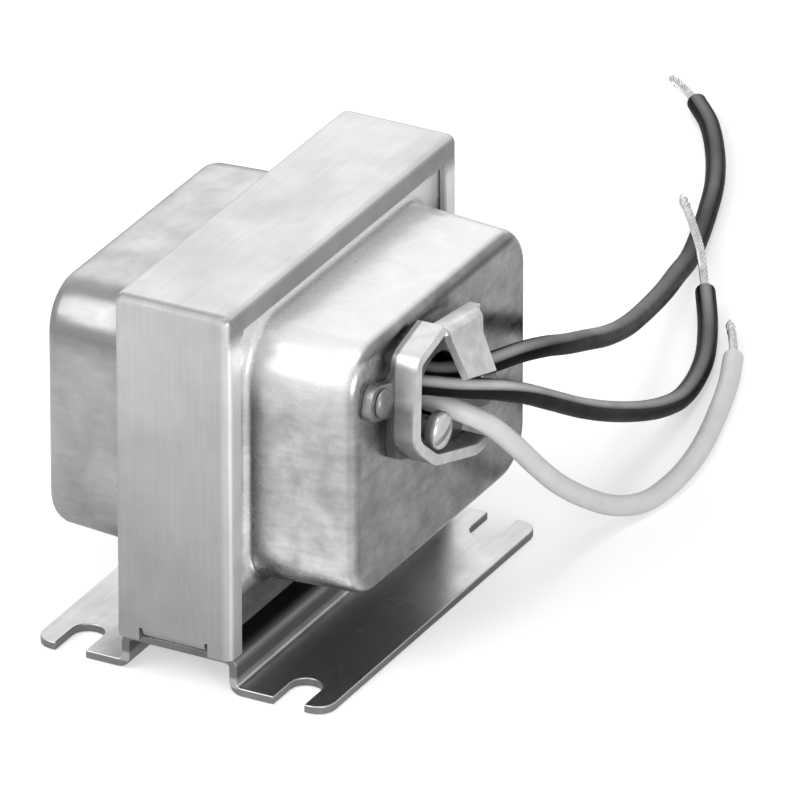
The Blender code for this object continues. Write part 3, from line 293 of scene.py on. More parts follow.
# %% The strand tree
def strand_tree():
    tree = new_geometry_tree(
        "twisted_strands",
        [
            ("Strands", "NodeSocketInt", 9),
            ("Layer Radius", "NodeSocketFloat", 0.45 * MM),
            ("Strand Radius", "NodeSocketFloat", 0.15 * MM),
            ("Turns", "NodeSocketFloat", 2.0),
            ("Fray", "NodeSocketFloat", 0.1 * MM),
            ("Finish", "NodeSocketMaterial", None),
        ],
    )
    given = tree.nodes.new("NodeGroupInput").outputs
    values = {"Geometry": given["Geometry"], "Amount": given["Strands"]}
    copies = add_node(tree, "GeometryNodeDuplicateElements", values, domain="SPLINE")
    along = tree.nodes.new("GeometryNodeSplineParameter").outputs["Factor"]
    share = math_node(tree, "DIVIDE", copies.outputs["Duplicate Index"], given["Strands"])
    turns = math_node(tree, "MULTIPLY", along, given["Turns"])
    angle = math_node(tree, "MULTIPLY", math_node(tree, "ADD", share, turns), 2 * math.pi)
    tangent = tree.nodes.new("GeometryNodeInputTangent").outputs[0]
    normal = tree.nodes.new("GeometryNodeInputNormal").outputs[0]
    binormal = vector_node(tree, "CROSS_PRODUCT", {0: tangent, 1: normal})
    one = vector_node(tree, "SCALE", {0: normal, "Scale": math_node(tree, "COSINE", angle)})
    other = vector_node(tree, "SCALE", {0: binormal, "Scale": math_node(tree, "SINE", angle)})
    spoke = vector_node(tree, "ADD", {0: one, 1: other})
    values = {"Min": -0.3, "Max": 1.0, "ID": copies.outputs["Duplicate Index"], "Seed": 7}
    loose = add_node(tree, "FunctionNodeRandomValue", values, data_type="FLOAT")
    opening = math_node(tree, "MULTIPLY", math_node(tree, "POWER", along, 5.0), given["Fray"])
    frayed = math_node(tree, "MULTIPLY", opening, loose.outputs[1])
    reach = math_node(tree, "ADD", given["Layer Radius"], frayed)
    offset = vector_node(tree, "SCALE", {0: spoke, "Scale": reach})
    values = {"Geometry": copies.outputs["Geometry"], "Offset": offset}
    moved = add_node(tree, "GeometryNodeSetPosition", values)
    values = {"Resolution": 8, "Radius": given["Strand Radius"]}
    ring = add_node(tree, "GeometryNodeCurvePrimitiveCircle", values)
    values = {"Curve": moved.outputs["Geometry"], "Profile Curve": ring.outputs["Curve"], "Fill Caps": True}
    wires = add_node(tree, "GeometryNodeCurveToMesh", values)
    end_tree(tree, wires.outputs["Mesh"], given["Finish"])
    return tree


def route_curve(name, path):
    curve = bpy.data.curves.new(name, "CURVE")
    curve.dimensions = "3D"
    line = curve.splines.new("POLY")
    line.points.add(len(path) - 1)
    for target, point in zip(line.points, path):
        target.co = (*point, 1.0)
    item = bpy.data.objects.new(name, curve)
    scene.collection.objects.link(item)
    return item


# %% [markdown]
# ## Finishes
# Every finish is a small node tree that reads Object coordinates, scaled to millimetres, so that a number
# in it is a size on the real thing. Metal sheet is never even: cold rolling leaves faint lines one way, the
# tin bath leaves soft clouds, and handling leaves fine scratches. Those drive roughness, colour and bump.

# %% Helpers for finishes
def new_finish(name, colour, roughness, metallic=0.0):
    finish = bpy.data.materials.new(name)
    finish.use_nodes = True
    tree = finish.node_tree
    shader = tree.nodes["Principled BSDF"]
    shader.inputs["Base Color"].default_value = (*colour, 1.0)
    shader.inputs["Roughness"].default_value = roughness
    shader.inputs["Metallic"].default_value = metallic
    finish.diffuse_color = (*colour, 1.0)
    return finish, tree, shader


def millimetres(tree, stretch=(1.0, 1.0, 1.0)):
    place = tree.nodes.new("ShaderNodeTexCoord").outputs["Object"]
    scale = [1000.0 * value for value in stretch]
    return add_node(tree, "ShaderNodeMapping", {"Vector": place, "Scale": scale}).outputs["Vector"]


def noise(tree, where, scale, detail=3.0, roughness=0.5, distortion=0.0):
    values = {"Vector": where, "Scale": scale, "Detail": detail, "Roughness": roughness}
    return add_node(tree, "ShaderNodeTexNoise", {**values, "Distortion": distortion}).outputs[0]


def remap(tree, value, low, high, to_low, to_high):
    values = {0: value, 1: low, 2: high, 3: to_low, 4: to_high}
    return add_node(tree, "ShaderNodeMapRange", values).outputs[0]


def blend_colours(tree, share, dark, light):
    node = add_node(tree, "ShaderNodeMix", data_type="RGBA")
    tree.links.new(share, node.inputs[0])
    node.inputs[6].default_value = (*dark, 1.0)
    node.inputs[7].default_value = (*light, 1.0)
    return node.outputs[2]


def add_bump(tree, shader, height, depth, before=None):
    """Bump whose depth is in metres, on top of an earlier bump where one is given."""
    values = {"Height": height, "Strength": 1.0, "Distance": depth}
    if before is not None:
        values["Normal"] = before
    bump = add_node(tree, "ShaderNodeBump", values).outputs["Normal"]
    tree.links.new(bump, shader.inputs["Normal"])
    return bump


# %% Tinned sheet steel
YELLOWING = 0.985
# Tone and metalness of a top that is made paler and duller as painted light.
PAINTED_LIGHT_TOP_TONE, PAINTED_LIGHT_TOP_METALLIC = (0.79, 0.85), 0.35
GRAIN_DEPTH = 0.002 * MM


def within(tree, place, limits, share):
    """The share times how far inside all the limits a place lies, from 0 to 1 for each."""
    for axis, outside, inside in limits:
        share = math_node(tree, "MULTIPLY", share, remap(tree, place[axis], outside, inside, 0.0, 1.0))
    return share


def tinned_steel(name, grain, tin, rough, clouds, dents, metallic=1.0, light_and_shade_zones=(), satin=()):
    """Bright tin over rolled sheet. The grain is small along the rolling direction and large across it.

    tin is the dark and the light tone, rough the roughness of the dark and the light clouds, clouds their
    count per millimetre, and dents a count per millimetre and a depth in millimetres. A zone paints light
    into the tone where its change is above nought, and shade where it is below: a change of tone, then the
    limits it
    lies within: an axis, a place outside and a place inside, in millimetres. X is measured from the middle
    both ways. Within the limits given for the top, the tin is paler and less metallic: painted light, so that
    the top reads brightly lit.
    """
    dark, light = tin
    bright = (light, light, light * YELLOWING)
    finish, tree, shader = new_finish(name, bright, sum(rough) / 2, metallic)
    even = millimetres(tree)
    soft = noise(tree, even, clouds, 3.0, 0.55, 0.3)
    rolled = noise(tree, millimetres(tree, grain), 1.0, 4.0, 0.6)
    cloud_part = math_node(tree, "MULTIPLY", soft, 0.7)
    both = math_node(tree, "ADD", cloud_part, math_node(tree, "MULTIPLY", rolled, 0.3))
    tone = remap(tree, both, 0.36, 0.64, dark, light)
    place = dict(add_node(tree, "ShaderNodeSeparateXYZ", {0: even}).outputs.items())
    place["X"] = math_node(tree, "ABSOLUTE", place["X"])
    # Each zone multiplies the tone: painted light where its change is above nought, painted shade below.
    for change, *limits in light_and_shade_zones:
        share = within(tree, place, limits, change)
        tone = math_node(tree, "MULTIPLY", tone, math_node(tree, "ADD", share, 1.0))
    # Painted light: within the top limits the tin turns paler and less metallic, so that the top reads
    # brightly lit.
    if satin:
        dull = within(tree, place, satin, 1.0)
        pale = remap(tree, both, 0.3, 0.7, *PAINTED_LIGHT_TOP_TONE)
        lift = math_node(tree, "MULTIPLY", math_node(tree, "SUBTRACT", pale, tone), dull)
        tone = math_node(tree, "ADD", tone, lift)
        tree.links.new(remap(tree, dull, 0.0, 1.0, metallic, PAINTED_LIGHT_TOP_METALLIC), shader.inputs["Metallic"])
    tree.links.new(tone, shader.inputs["Base Color"])
    tree.links.new(remap(tree, both, 0.3, 0.7, *rough), shader.inputs["Roughness"])
    fine = add_bump(tree, shader, rolled, GRAIN_DEPTH)
    dent_count, dent_depth = dents
    add_bump(tree, shader, noise(tree, even, dent_count, 2.0, 0.5), dent_depth * MM, fine)
    return finish


# %% Vinyl insulation
# Between these places along X, in millimetres, the painted highlight on the leads fades to half.
PAINTED_HIGHLIGHT_FADE = (20.0, 65.0)


def vinyl(name, dark, light, rough, painted_highlight=0.0):
    """Nearly smooth extruded insulation, with a painted highlight along its upper side that fades along X."""
    finish, tree, shader = new_finish(name, (light,) * 3, rough, 0.0)
    shader.inputs["Specular IOR Level"].default_value = 0.02 if painted_highlight else 0.5
    even = millimetres(tree)
    marks = noise(tree, even, 0.2, 3.0, 0.5)
    tone = remap(tree, marks, 0.3, 0.7, dark, light)
    # Painted highlight: the side that faces up and forwards is made paler, in patches, and less so further
    # along X.
    if painted_highlight:
        upper = add_node(tree, "ShaderNodeAttribute", attribute_name="upper").outputs["Fac"]
        share = remap(tree, upper, 0.77, 0.99, 0.0, painted_highlight)
        patches = remap(tree, noise(tree, even, 0.045, 2.0, 0.5), 0.4, 0.6, 0.5, 1.0)
        along = add_node(tree, "ShaderNodeSeparateXYZ", {0: even}).outputs["X"]
        share = math_node(tree, "MULTIPLY", share, remap(tree, along, *PAINTED_HIGHLIGHT_FADE, 1.0, 0.5))
        tone = math_node(tree, "ADD", tone, math_node(tree, "MULTIPLY", share, patches))
    tree.links.new(tone, shader.inputs["Base Color"])
    tree.links.new(remap(tree, marks, 0.3, 0.7, rough + 0.06, rough - 0.04), shader.inputs["Roughness"])
    add_bump(tree, shader, noise(tree, even, 0.4, 2.0), 0.01 * MM)
    return finish


# %% [markdown]
# ## Painted light and shade on the tin
# The tin's tone carries painted light and shade. It is darker on faces that lie in shade and on faces that
# mirror something dark, it is lighter where a top, a lip or a bend catches light, and a few lamp highlights
# are toned down. Each sheet's zones paint this in millimetres, so that the tones stay on the metal from every
# side. A painted mask could do the same, but it would need an image, and these few limits don't.

# %% The finishes of this transformer
BELL_GRAIN = (0.25, 0.25, 1.0)
PLATED_GRAIN = (0.6, 0.6, 0.6)
# Front bell: painted shade darkens the flat face, the flange below the bell, and the upper and side noses,
# where it tones down lamp highlights; painted light brightens the low wall and the flange line.
FACE_PAINTED_SHADE = (-0.42, ("Y", -20.2, -20.69))
LOW_FLANGE_PAINTED_SHADE = (-0.65, ("Y", -7.6, -6.9), ("Z", 12.8, 11.8))
LOW_WALL_PAINTED_LIGHT = (0.4, ("Z", 26.0, 15.0), ("Z", 13.0, 14.0), ("Y", -20.69, -20.2))
FLANGE_PAINTED_LIGHT = (0.25, ("Y", -6.5, -6.1), ("Z", 13.0, 14.0))
UPPER_NOSE_PAINTED_SHADE = (-0.55, ("Z", 45.0, 45.6), ("Y", -19.5, -20.0))
SIDE_NOSE_PAINTED_SHADE = (-0.22, ("X", 20.9, 21.5), ("Y", -19.4, -19.9))
FRONT_STEEL = tinned_steel(
    "front_bell_tin", BELL_GRAIN, (0.42, 0.68), (0.36, 0.2), 0.26, (0.3, 0.05),
    light_and_shade_zones=[FACE_PAINTED_SHADE, LOW_FLANGE_PAINTED_SHADE, LOW_WALL_PAINTED_LIGHT, FLANGE_PAINTED_LIGHT, UPPER_NOSE_PAINTED_SHADE, SIDE_NOSE_PAINTED_SHADE],
    # Painted light: the front bell's top is paler and less metallic.
    satin=[("Z", 37.5, 45.0), ("Y", -20.1, -19.1)],
)
# Back bell: painted shade darkens it towards the bottom and tones down the highlight on the rounding of its
# top corners.
BACK_STEEL = tinned_steel(
    "back_bell_tin", BELL_GRAIN, (0.36, 0.52), (0.36, 0.24), 0.14, (0.2, 0.05),
    light_and_shade_zones=[(-0.5, ("Z", 24.0, 10.0)), (-0.4, ("X", 17.0, 20.5), ("Z", 38.0, 41.5))],
)
STRAP_LIP = ("Y", -6.7, -6.9)
# Strap: painted shade darkens it towards the bottom and along its top lip; painted light brightens its top
# and the lips of its legs; a painted highlight lies on the upright bends at the front corners; painted shade
# tones down the highlight on the bends at the ends of its top.
STRAP_PAINTED_SHADE, STRAP_TOP_PAINTED_LIGHT = (-0.38, ("Z", 46.0, 5.0)), (0.14, ("Z", 51.9, 52.3))
TOP_LIP_PAINTED_SHADE = (-0.4, STRAP_LIP, ("Z", 48.0, 50.0))
SIDE_LIP_PAINTED_LIGHT = (0.6, STRAP_LIP, ("Z", 49.5, 47.5), ("X", 29.95, 29.6))
SIDE_BEND_PAINTED_HIGHLIGHT = (0.3, ("Y", -5.7, -6.3), ("X", 29.2, 29.6))
TOP_BEND_PAINTED_SHADE = (-0.6, ("X", 28.9, 29.5), ("Z", 51.6, 52.1))
STRAP_STEEL = tinned_steel(
    "strap_tin", (0.12, 3.0, 0.12), (0.48, 0.59), (0.5, 0.38), 0.1, (0.05, 0.05), 0.8,
    light_and_shade_zones=[STRAP_PAINTED_SHADE, STRAP_TOP_PAINTED_LIGHT, TOP_LIP_PAINTED_SHADE, SIDE_LIP_PAINTED_LIGHT, SIDE_BEND_PAINTED_HIGHLIGHT, TOP_BEND_PAINTED_SHADE],
)
# Bracket: painted shade darkens everything above 2.5 mm, the riser and web under the bell, and the edges of
# the foot below 1 mm.
BRACKET_STEEL = tinned_steel(
    "bracket_tin", (0.1, 1.2, 0.1), (0.43, 0.55), (0.36, 0.24), 0.14, (0.06, 0.03),
    light_and_shade_zones=[(-0.6, ("Z", 2.0, 2.5)), (-0.5, ("Z", 1.04, 0.9))],
)
# Clamp: painted shade darkens the base plate and ears against the bell, and below 37.4 mm everything behind
# the collar's rim, the screw head included.
CLAMP_ZINC = tinned_steel(
    "clamp_zinc", PLATED_GRAIN, (0.58, 0.78), (0.38, 0.26), 0.3, (0.3, 0.02), 0.7,
    light_and_shade_zones=[(-0.6, ("Y", -22.3, -22.1)), (-0.5, ("Y", -24.9, -24.6), ("Z", 39.0, 37.4))],
)
RIVET_STEEL = tinned_steel("rivet_steel", PLATED_GRAIN, (0.2, 0.3), (0.45, 0.34), 0.3, (0.3, 0.02))
STRAND_TIN = tinned_steel("strand_tin", (1.0, 1.0, 1.0), (0.5, 0.7), (0.36, 0.22), 1.0, (0.5, 0.01))
# The last number is the strength of the painted highlight along each dark lead's upper side.
BLACK_VINYL = vinyl("black_vinyl", 0.006, 0.012, 0.3, 0.42)
GREY_VINYL = vinyl("dark_grey_vinyl", 0.01, 0.02, 0.3, 0.75)
WHITE_VINYL = vinyl("white_vinyl", 0.78, 0.86, 0.36)
print(len(bpy.data.materials), "finishes so far")

# %% [markdown]
# ## The leads' bare ends
# Nine strands lie round four, as in common stranded wire, with one turn in 7 mm. Each lead then gets its
# finish and stands in for the solid model's own lead and bare end.

STRAND_LAYERS = ((9, 0.43), (4, 0.17))
STRAND_RADIUS, STRAND_FRAY, TWIST_PITCH = 0.145, 0.22, 7.0
LEAD_HOLE_PLANE = -20.7
strands = strand_tree()
LEAD_FINISH = {"upper": BLACK_VINYL, "lower": GREY_VINYL, "white": WHITE_VINYL}
for name, lead in leads.items():
    lead.data.materials.append(LEAD_FINISH[name])
    bare_path = smooth_route(BARE_ROUTES[name], STRAND_SPACING)
    turns = route_length(bare_path) / (TWIST_PITCH * MM)
    layers = []
    for count, layer in STRAND_LAYERS:
        values = {"Strands": count, "Layer Radius": layer * MM, "Strand Radius": STRAND_RADIUS * MM}
        values.update({"Turns": turns, "Fray": STRAND_FRAY * MM, "Finish": STRAND_TIN})
        layers.append(run_tree(route_curve("strands_%s_%d" % (name, count), bare_path), strands, values))
    work = bmesh.new()
    for layer in layers:
        work.from_mesh(layer.data)
        bpy.data.objects.remove(layer)
    bare = as_object("lead_" + name + "_strands", work)
    bare.data.materials.append(STRAND_TIN)
    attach(lead, "root")
    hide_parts("lead_" + name)
    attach(bare, "root")
    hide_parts("lead_" + name + "_bare_end")
    path = lead_paths[name]
    way_out = next(point for point in path if point.y < LEAD_HOLE_PLANE * MM)
    place = [round(v / MM, 1) for v in way_out]
    print("lead", name, "leaves at", place, "strand faces", len(bare.data.polygons))

# %% [markdown]
# ## The end bells
# An end bell is drawn from one flat blank: the punch pushes a deep tray out of it and leaves a flange
# round the rim. Rings of vertices copy that: each ring is a rounded rectangle at its own depth, from the
# flange's edge, round the root fillet, up the sloping wall, over the nose and across the flat face.

# %% Sizes that the bells share with the solid model, in millimetres
CENTRE_Y = 1.05
BELL_CENTRE_Z = 29.85
BELL_ROOT = (47.6 / 2, 35.9 / 2)
BELL_DRAFT, BELL_CORNER, BELL_NOSE, ROOT_FILLET, SHEET = 0.8, 7.0, 1.6, 1.1, 0.6
FLANGE_FACE, BELL_FACE = 6.85, 21.75
FLANGE_HALF_X, FLANGE_TOP, FLANGE_BOTTOM, FLANGE_CORNER = 28.3, 50.9, 8.9, 2.5
LEAD_HOLE, LEAD_HOLE_RADIUS = (-3.7, -21.0, 35.15), 4.9
ROOT_STEPS, NOSE_STEPS = 6, 8
WALL_DEPTHS, FACE_SHARES = (10.0, 12.5, 15.0, 17.5), (0.9, 0.7, 0.45, 0.2)


def rounded_ring(half_x, half_z, radius, centre_z, corner_steps=10, side_steps=8):
    """Points (x, z) round a rectangle with round corners, the same number for every size."""
    points = []
    for sign_x, sign_z, start in ((1, 1, 0.0), (-1, 1, 90.0), (-1, -1, 180.0), (1, -1, 270.0)):
        middle = (sign_x * (half_x - radius), sign_z * (half_z - radius))
        for step in range(corner_steps + 1):
            angle = math.radians(start + 90.0 * step / corner_steps)
            points.append((middle[0] + radius * math.cos(angle), middle[1] + radius * math.sin(angle)))
    full = []
    for index, here in enumerate(points):
        there = points[(index + 1) % len(points)]
        full.append(here)
        if index % (corner_steps + 1) == corner_steps:
            for step in range(1, side_steps):
                share = step / side_steps
                full.append(tuple(a + (b - a) * share for a, b in zip(here, there)))
    return [(x, z + centre_z) for x, z in full]


def bell_rings():
    """(ring, depth) pairs from the flange's edge to the middle of the face."""
    flange_z, flange_half_z = (FLANGE_TOP + FLANGE_BOTTOM) / 2, (FLANGE_TOP - FLANGE_BOTTOM) / 2
    rings = [(rounded_ring(FLANGE_HALF_X, flange_half_z, FLANGE_CORNER, flange_z), FLANGE_FACE)]
    slope = BELL_DRAFT / (BELL_FACE - FLANGE_FACE)

    def wall_ring(outset, depth):
        half_x, half_z = BELL_ROOT[0] + outset, BELL_ROOT[1] + outset
        return rounded_ring(half_x, half_z, BELL_CORNER + outset, BELL_CENTRE_Z), depth

    for step in range(ROOT_STEPS + 1):
        angle = math.radians(90.0 * step / ROOT_STEPS)
        depth = FLANGE_FACE + ROOT_FILLET * (1 - math.cos(angle))
        rings.append(wall_ring(ROOT_FILLET * (1 - math.sin(angle)), depth))
    for depth in (*WALL_DEPTHS, BELL_FACE - BELL_NOSE):
        rings.append(wall_ring(-slope * (depth - FLANGE_FACE), depth))
    for step in range(1, NOSE_STEPS + 1):
        angle = math.radians(90.0 * step / NOSE_STEPS)
        inset = BELL_DRAFT + BELL_NOSE * (1 - math.cos(angle))
        rings.append(wall_ring(-inset, BELL_FACE - BELL_NOSE * (1 - math.sin(angle))))
    inset = BELL_DRAFT + BELL_NOSE
    for share in FACE_SHARES:
        half_x, half_z = (BELL_ROOT[0] - inset) * share, (BELL_ROOT[1] - inset) * share
        face_ring = rounded_ring(half_x, half_z, (BELL_CORNER - inset) * share, BELL_CENTRE_Z)
        rings.append((face_ring, BELL_FACE))
    return rings


# %% Join the rings into one bell
def bell_mesh_work():
    work = bmesh.new()
    rows = []
    for ring, depth in bell_rings():
        rows.append([work.verts.new((x * MM, -depth * MM, z * MM)) for x, z in ring])
    for row, following in zip(rows, rows[1:]):
        for index in range(len(row)):
            beside = (index + 1) % len(row)
            work.faces.new((row[index], row[beside], following[beside], following[index]))
    work.faces.new(rows[-1])
    bmesh.ops.recalc_face_normals(work, faces=work.faces)
    cap = min(work.faces, key=lambda face: face.calc_center_median().y)
    if cap.normal.y > 0:
        bmesh.ops.reverse_faces(work, faces=work.faces)
    return work


# %% Helpers that apply modifiers and cut a hole
def finish_modifiers(item):
    """Turns an item's modifiers into plain mesh."""
    bpy.context.view_layer.update()
    graph = bpy.context.evaluated_depsgraph_get()
    mesh = bpy.data.meshes.new_from_object(item.evaluated_get(graph), depsgraph=graph)
    item.modifiers.clear()
    item.data = mesh


def cut_with(item, cutter):
    step = item.modifiers.new("cut", "BOOLEAN")
    step.operation, step.solver, step.object = "DIFFERENCE", "EXACT", cutter
    finish_modifiers(item)
    bpy.data.objects.remove(cutter)


def round_pin(name, centre, radius, length, steps=40):
    """A plain round bar along Y, to cut a hole with."""
    work = bmesh.new()
    turn = Matrix.Translation(centre) @ Matrix.Rotation(math.pi / 2, 4, "X")
    bmesh.ops.create_cone(
        work, cap_ends=True, segments=steps, radius1=radius, radius2=radius, depth=length, matrix=turn
    )
    return as_object(name, work)


# %% Draw both bells
BELL_CREASE = 50.0


def drawn_bell(name, node, finish, turned):
    bell = as_object(name, bell_mesh_work(), BELL_CREASE)
    wall = bell.modifiers.new("sheet", "SOLIDIFY")
    wall.thickness, wall.offset, wall.use_quality_normals = SHEET * MM, -1.0, True
    finish_modifiers(bell)
    if turned:
        bell.data.transform(Matrix.Rotation(math.pi, 4, "Z"))
    bell.data.transform(Matrix.Translation((0.0, CENTRE_Y * MM, 0.0)))
    if not turned:
        cut_with(bell, round_pin("lead_hole", Vector(LEAD_HOLE) * MM, LEAD_HOLE_RADIUS * MM, 6 * MM))
    bell.data.materials.clear()
    bell.data.materials.append(finish)
    bell.data.shade_smooth()
    bell.data.set_sharp_from_angle(angle=math.radians(BELL_CREASE))
    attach(bell, "root")
    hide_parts(node)
    print(name, len(bell.data.polygons), "faces")


drawn_bell("front_bell_drawn", "front_bell", FRONT_STEEL, False)
drawn_bell("back_bell_drawn", "back_bell", BACK_STEEL, True)

# %% [markdown]
# ## Strap, bracket and clamp
# These sheets already have their true shape in the solid model, but every edge there is razor sharp. A
# sheared edge on real sheet is slightly rolled over, and that thin line of light makes it read as metal.
# Each sheet is copied, its loose triangles are merged into clean faces, and a small bevel rounds its edges.

# %% Copy a sheet and round its edges
WELD = 0.001 * MM


def rounded_copy(name, node, finish, width=0.14, angle=48.0, segments=3, smooth=40.0, shape=None):
    """A copy of a solid with rounded edges. shape may change the mesh work before they are rounded."""
    work = bmesh.new()
    work.from_mesh(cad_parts[node].data)
    bmesh.ops.remove_doubles(work, verts=work.verts, dist=WELD)
    if shape is not None:
        shape(work)
    bmesh.ops.dissolve_limit(work, angle_limit=math.radians(0.8), verts=work.verts, edges=work.edges)
    bmesh.ops.recalc_face_normals(work, faces=work.faces)
    copy = as_object(name, work, smooth)
    edge = copy.modifiers.new("rolled_edge", "BEVEL")
    edge.width, edge.segments, edge.limit_method = width * MM, segments, "ANGLE"
    edge.angle_limit = math.radians(angle)
    edge.use_clamp_overlap = True
    finish_modifiers(copy)
    even = copy.modifiers.new("even_shading", "WEIGHTED_NORMAL")
    even.keep_sharp = True
    copy.data.shade_smooth()
    copy.data.set_sharp_from_angle(angle=math.radians(smooth))
    finish_modifiers(copy)
    copy.data.materials.clear()
    copy.data.materials.append(finish)
    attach(copy, "root")
    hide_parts(node)
    print(name, len(copy.data.polygons), "faces")
    return copy


# %% [markdown]
# ## Closing the strap's corners
# In the solid model the strap's lips stop short of each top corner, as folded sheet must. The real corners
# are drawn over and look closed, so a small block with the bend's own radius fills each one. The collar of
# the clamp is seated too: the solid model leaves a little air behind it, which would show as a dark line.

# %% Shape a strap corner, and seat the collar
COLLAR_GAP = 0.26
LIP_REACH, LIP_WIDTH, STRAP_BEND = 3.7, 2.2, 1.15
CORNER_INSET, TINY = 0.012, 1e-6


def seat_on_bell(work):
    """Brings the collar's back against the bell, where the solid model leaves a little air."""
    back = max(vert.co.y for vert in work.verts)
    for vert in work.verts:
        if vert.co.y > back - 0.02 * MM:
            vert.co.y += COLLAR_GAP * MM


def corner_piece(sign_x, sign_y):
    """A drawn corner of the strap, where the lips of its top and its leg run into each other."""
    outer_x, outer_y, outer_z = STRAP_CORNER
    corner = bmesh.new()
    low = Vector((-outer_x, -outer_y, outer_z - LIP_REACH * MM))
    high = Vector((-outer_x + LIP_REACH * MM, -outer_y + LIP_WIDTH * MM, outer_z))
    turn = Matrix.LocRotScale((low + high) / 2, None, high - low)
    bmesh.ops.create_cube(corner, size=1.0, matrix=turn)
    rounded = []
    for edge in corner.edges:
        ends = [vert.co for vert in edge.verts]
        on_left = all(abs(end.x - low.x) < TINY for end in ends)
        in_front = all(abs(end.y - low.y) < TINY for end in ends)
        on_top = all(abs(end.z - high.z) < TINY for end in ends)
        if on_left + in_front + on_top == 2:
            rounded.append(edge)
    bend = STRAP_BEND * MM
    bmesh.ops.bevel(corner, geom=rounded, offset=bend, segments=6, profile=0.5, affect="EDGES")
    for vert in corner.verts:
        vert.co = Vector((-sign_x * vert.co.x, -sign_y * vert.co.y + CENTRE_Y * MM, vert.co.z))
    bmesh.ops.recalc_face_normals(corner, faces=corner.faces)
    return as_object("strap_corner", corner, 40.0)


# %% Dress the strap and close its corners
strap_points = [vert.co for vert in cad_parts["core_strap"].data.vertices]
STRAP_CORNER = (
    max(point.x for point in strap_points) - CORNER_INSET * MM,
    max(point.y for point in strap_points) - CENTRE_Y * MM - CORNER_INSET * MM,
    max(point.z for point in strap_points) - CORNER_INSET * MM,
)
strap = rounded_copy("core_strap_sheet", "core_strap", STRAP_STEEL)
work = bmesh.new()
work.from_mesh(strap.data)
for sign_x in (-1, 1):
    for sign_y in (-1, 1):
        piece = corner_piece(sign_x, sign_y)
        work.from_mesh(piece.data)
        bpy.data.objects.remove(piece)
work.to_mesh(strap.data)
work.free()
print("strap with its four corners", len(strap.data.polygons), "faces")

# %% Dress the bracket and the clamp
rounded_copy("base_bracket_sheet", "base_bracket", BRACKET_STEEL)
rounded_copy("clamp_collar_sheet", "clamp_collar", CLAMP_ZINC, 0.16, shape=seat_on_bell)
rounded_copy("clamp_jaw_sheet", "clamp_jaw", CLAMP_ZINC, 0.16, smooth=14.0)
rounded_copy("clamp_screw_head", "clamp_screw", CLAMP_ZINC, 0.1)

# %% [markdown]
# ## Rivets
# The clamp's ears and the terminal board are each held by two rivets. A rivet is a turned shape, so its
# profile is spun round an axis once. Geometry Nodes then put a copy on every marked place, turned to face
# the way that place faces, which is how a repeated fastener is kept the same everywhere.

# %% Spin a turned shape
def turned(name, profile, steps=40):
    """A closed turned piece from (radius, height) points in millimetres, top of the axis first."""
    work = bmesh.new()
    corners = [work.verts.new((radius * MM, 0.0, height * MM)) for radius, height in profile]
    line = [work.edges.new(pair) for pair in zip(corners, corners[1:])]
    bmesh.ops.spin(work, geom=corners + line, cent=(0, 0, 0), axis=(0, 0, 1), angle=2 * math.pi, steps=steps)
    bmesh.ops.remove_doubles(work, verts=work.verts, dist=WELD)
    bmesh.ops.recalc_face_normals(work, faces=work.faces)
    return as_object(name, work, 40.0)


def rivet_profile(grip):
    """A low dome, a shank through the sheets it grips, and a flattened tail."""
    head, height, shank, tail = 1.9, 1.0, 1.1, 1.6
    angles = [math.radians(angle) for angle in range(0, 85, 7)]
    points = [(head * math.sin(angle), height * math.cos(angle) ** 0.8) for angle in angles]
    points += [(head, 0.08), (head - 0.06, 0.0), (shank, 0.0), (shank, -grip)]
    return points + [(tail, -grip), (tail, -grip - 0.25), (tail - 0.3, -grip - 0.6), (0.0, -grip - 0.7)]


# %% Put rivets on marked places
def rivet_tree():
    inputs = [("Rivet", "NodeSocketObject", None), ("Finish", "NodeSocketMaterial", None)]
    tree = new_geometry_tree("rivets", inputs)
    given = tree.nodes.new("NodeGroupInput").outputs
    named = add_node(tree, "GeometryNodeInputNamedAttribute", {"Name": "facing"}, data_type="FLOAT_VECTOR")
    facing = {"Vector": named.outputs["Attribute"]}
    turn = add_node(tree, "FunctionNodeAlignRotationToVector", facing, axis="Z")
    shape = add_node(tree, "GeometryNodeObjectInfo", {"Object": given["Rivet"]})
    values = {"Points": given["Geometry"], "Instance": shape.outputs["Geometry"]}
    values["Rotation"] = turn.outputs["Rotation"]
    placed = add_node(tree, "GeometryNodeInstanceOnPoints", values)
    end_tree(tree, placed.outputs["Instances"], given["Finish"])
    return tree


def marked_places(name, places, facing):
    mesh = bpy.data.meshes.new(name)
    mesh.from_pydata([tuple(place) for place in places], [], [])
    way = mesh.attributes.new("facing", "FLOAT_VECTOR", "POINT")
    for item in way.data:
        item.vector = facing
    holder = bpy.data.objects.new(name, mesh)
    scene.collection.objects.link(holder)
    return holder


CLAMP_TILT = math.radians(16.0)
CLAMP_X, CLAMP_Z = -4.9, 35.35


def clamp_point(u, v, depth):
    """A place in the clamp's own tilted frame, in millimetres, as a point in metres."""
    x = CLAMP_X + u * math.cos(CLAMP_TILT) + v * math.sin(CLAMP_TILT)
    z = CLAMP_Z - u * math.sin(CLAMP_TILT) + v * math.cos(CLAMP_TILT)
    return Vector((x, CENTRE_Y - depth, z)) * MM


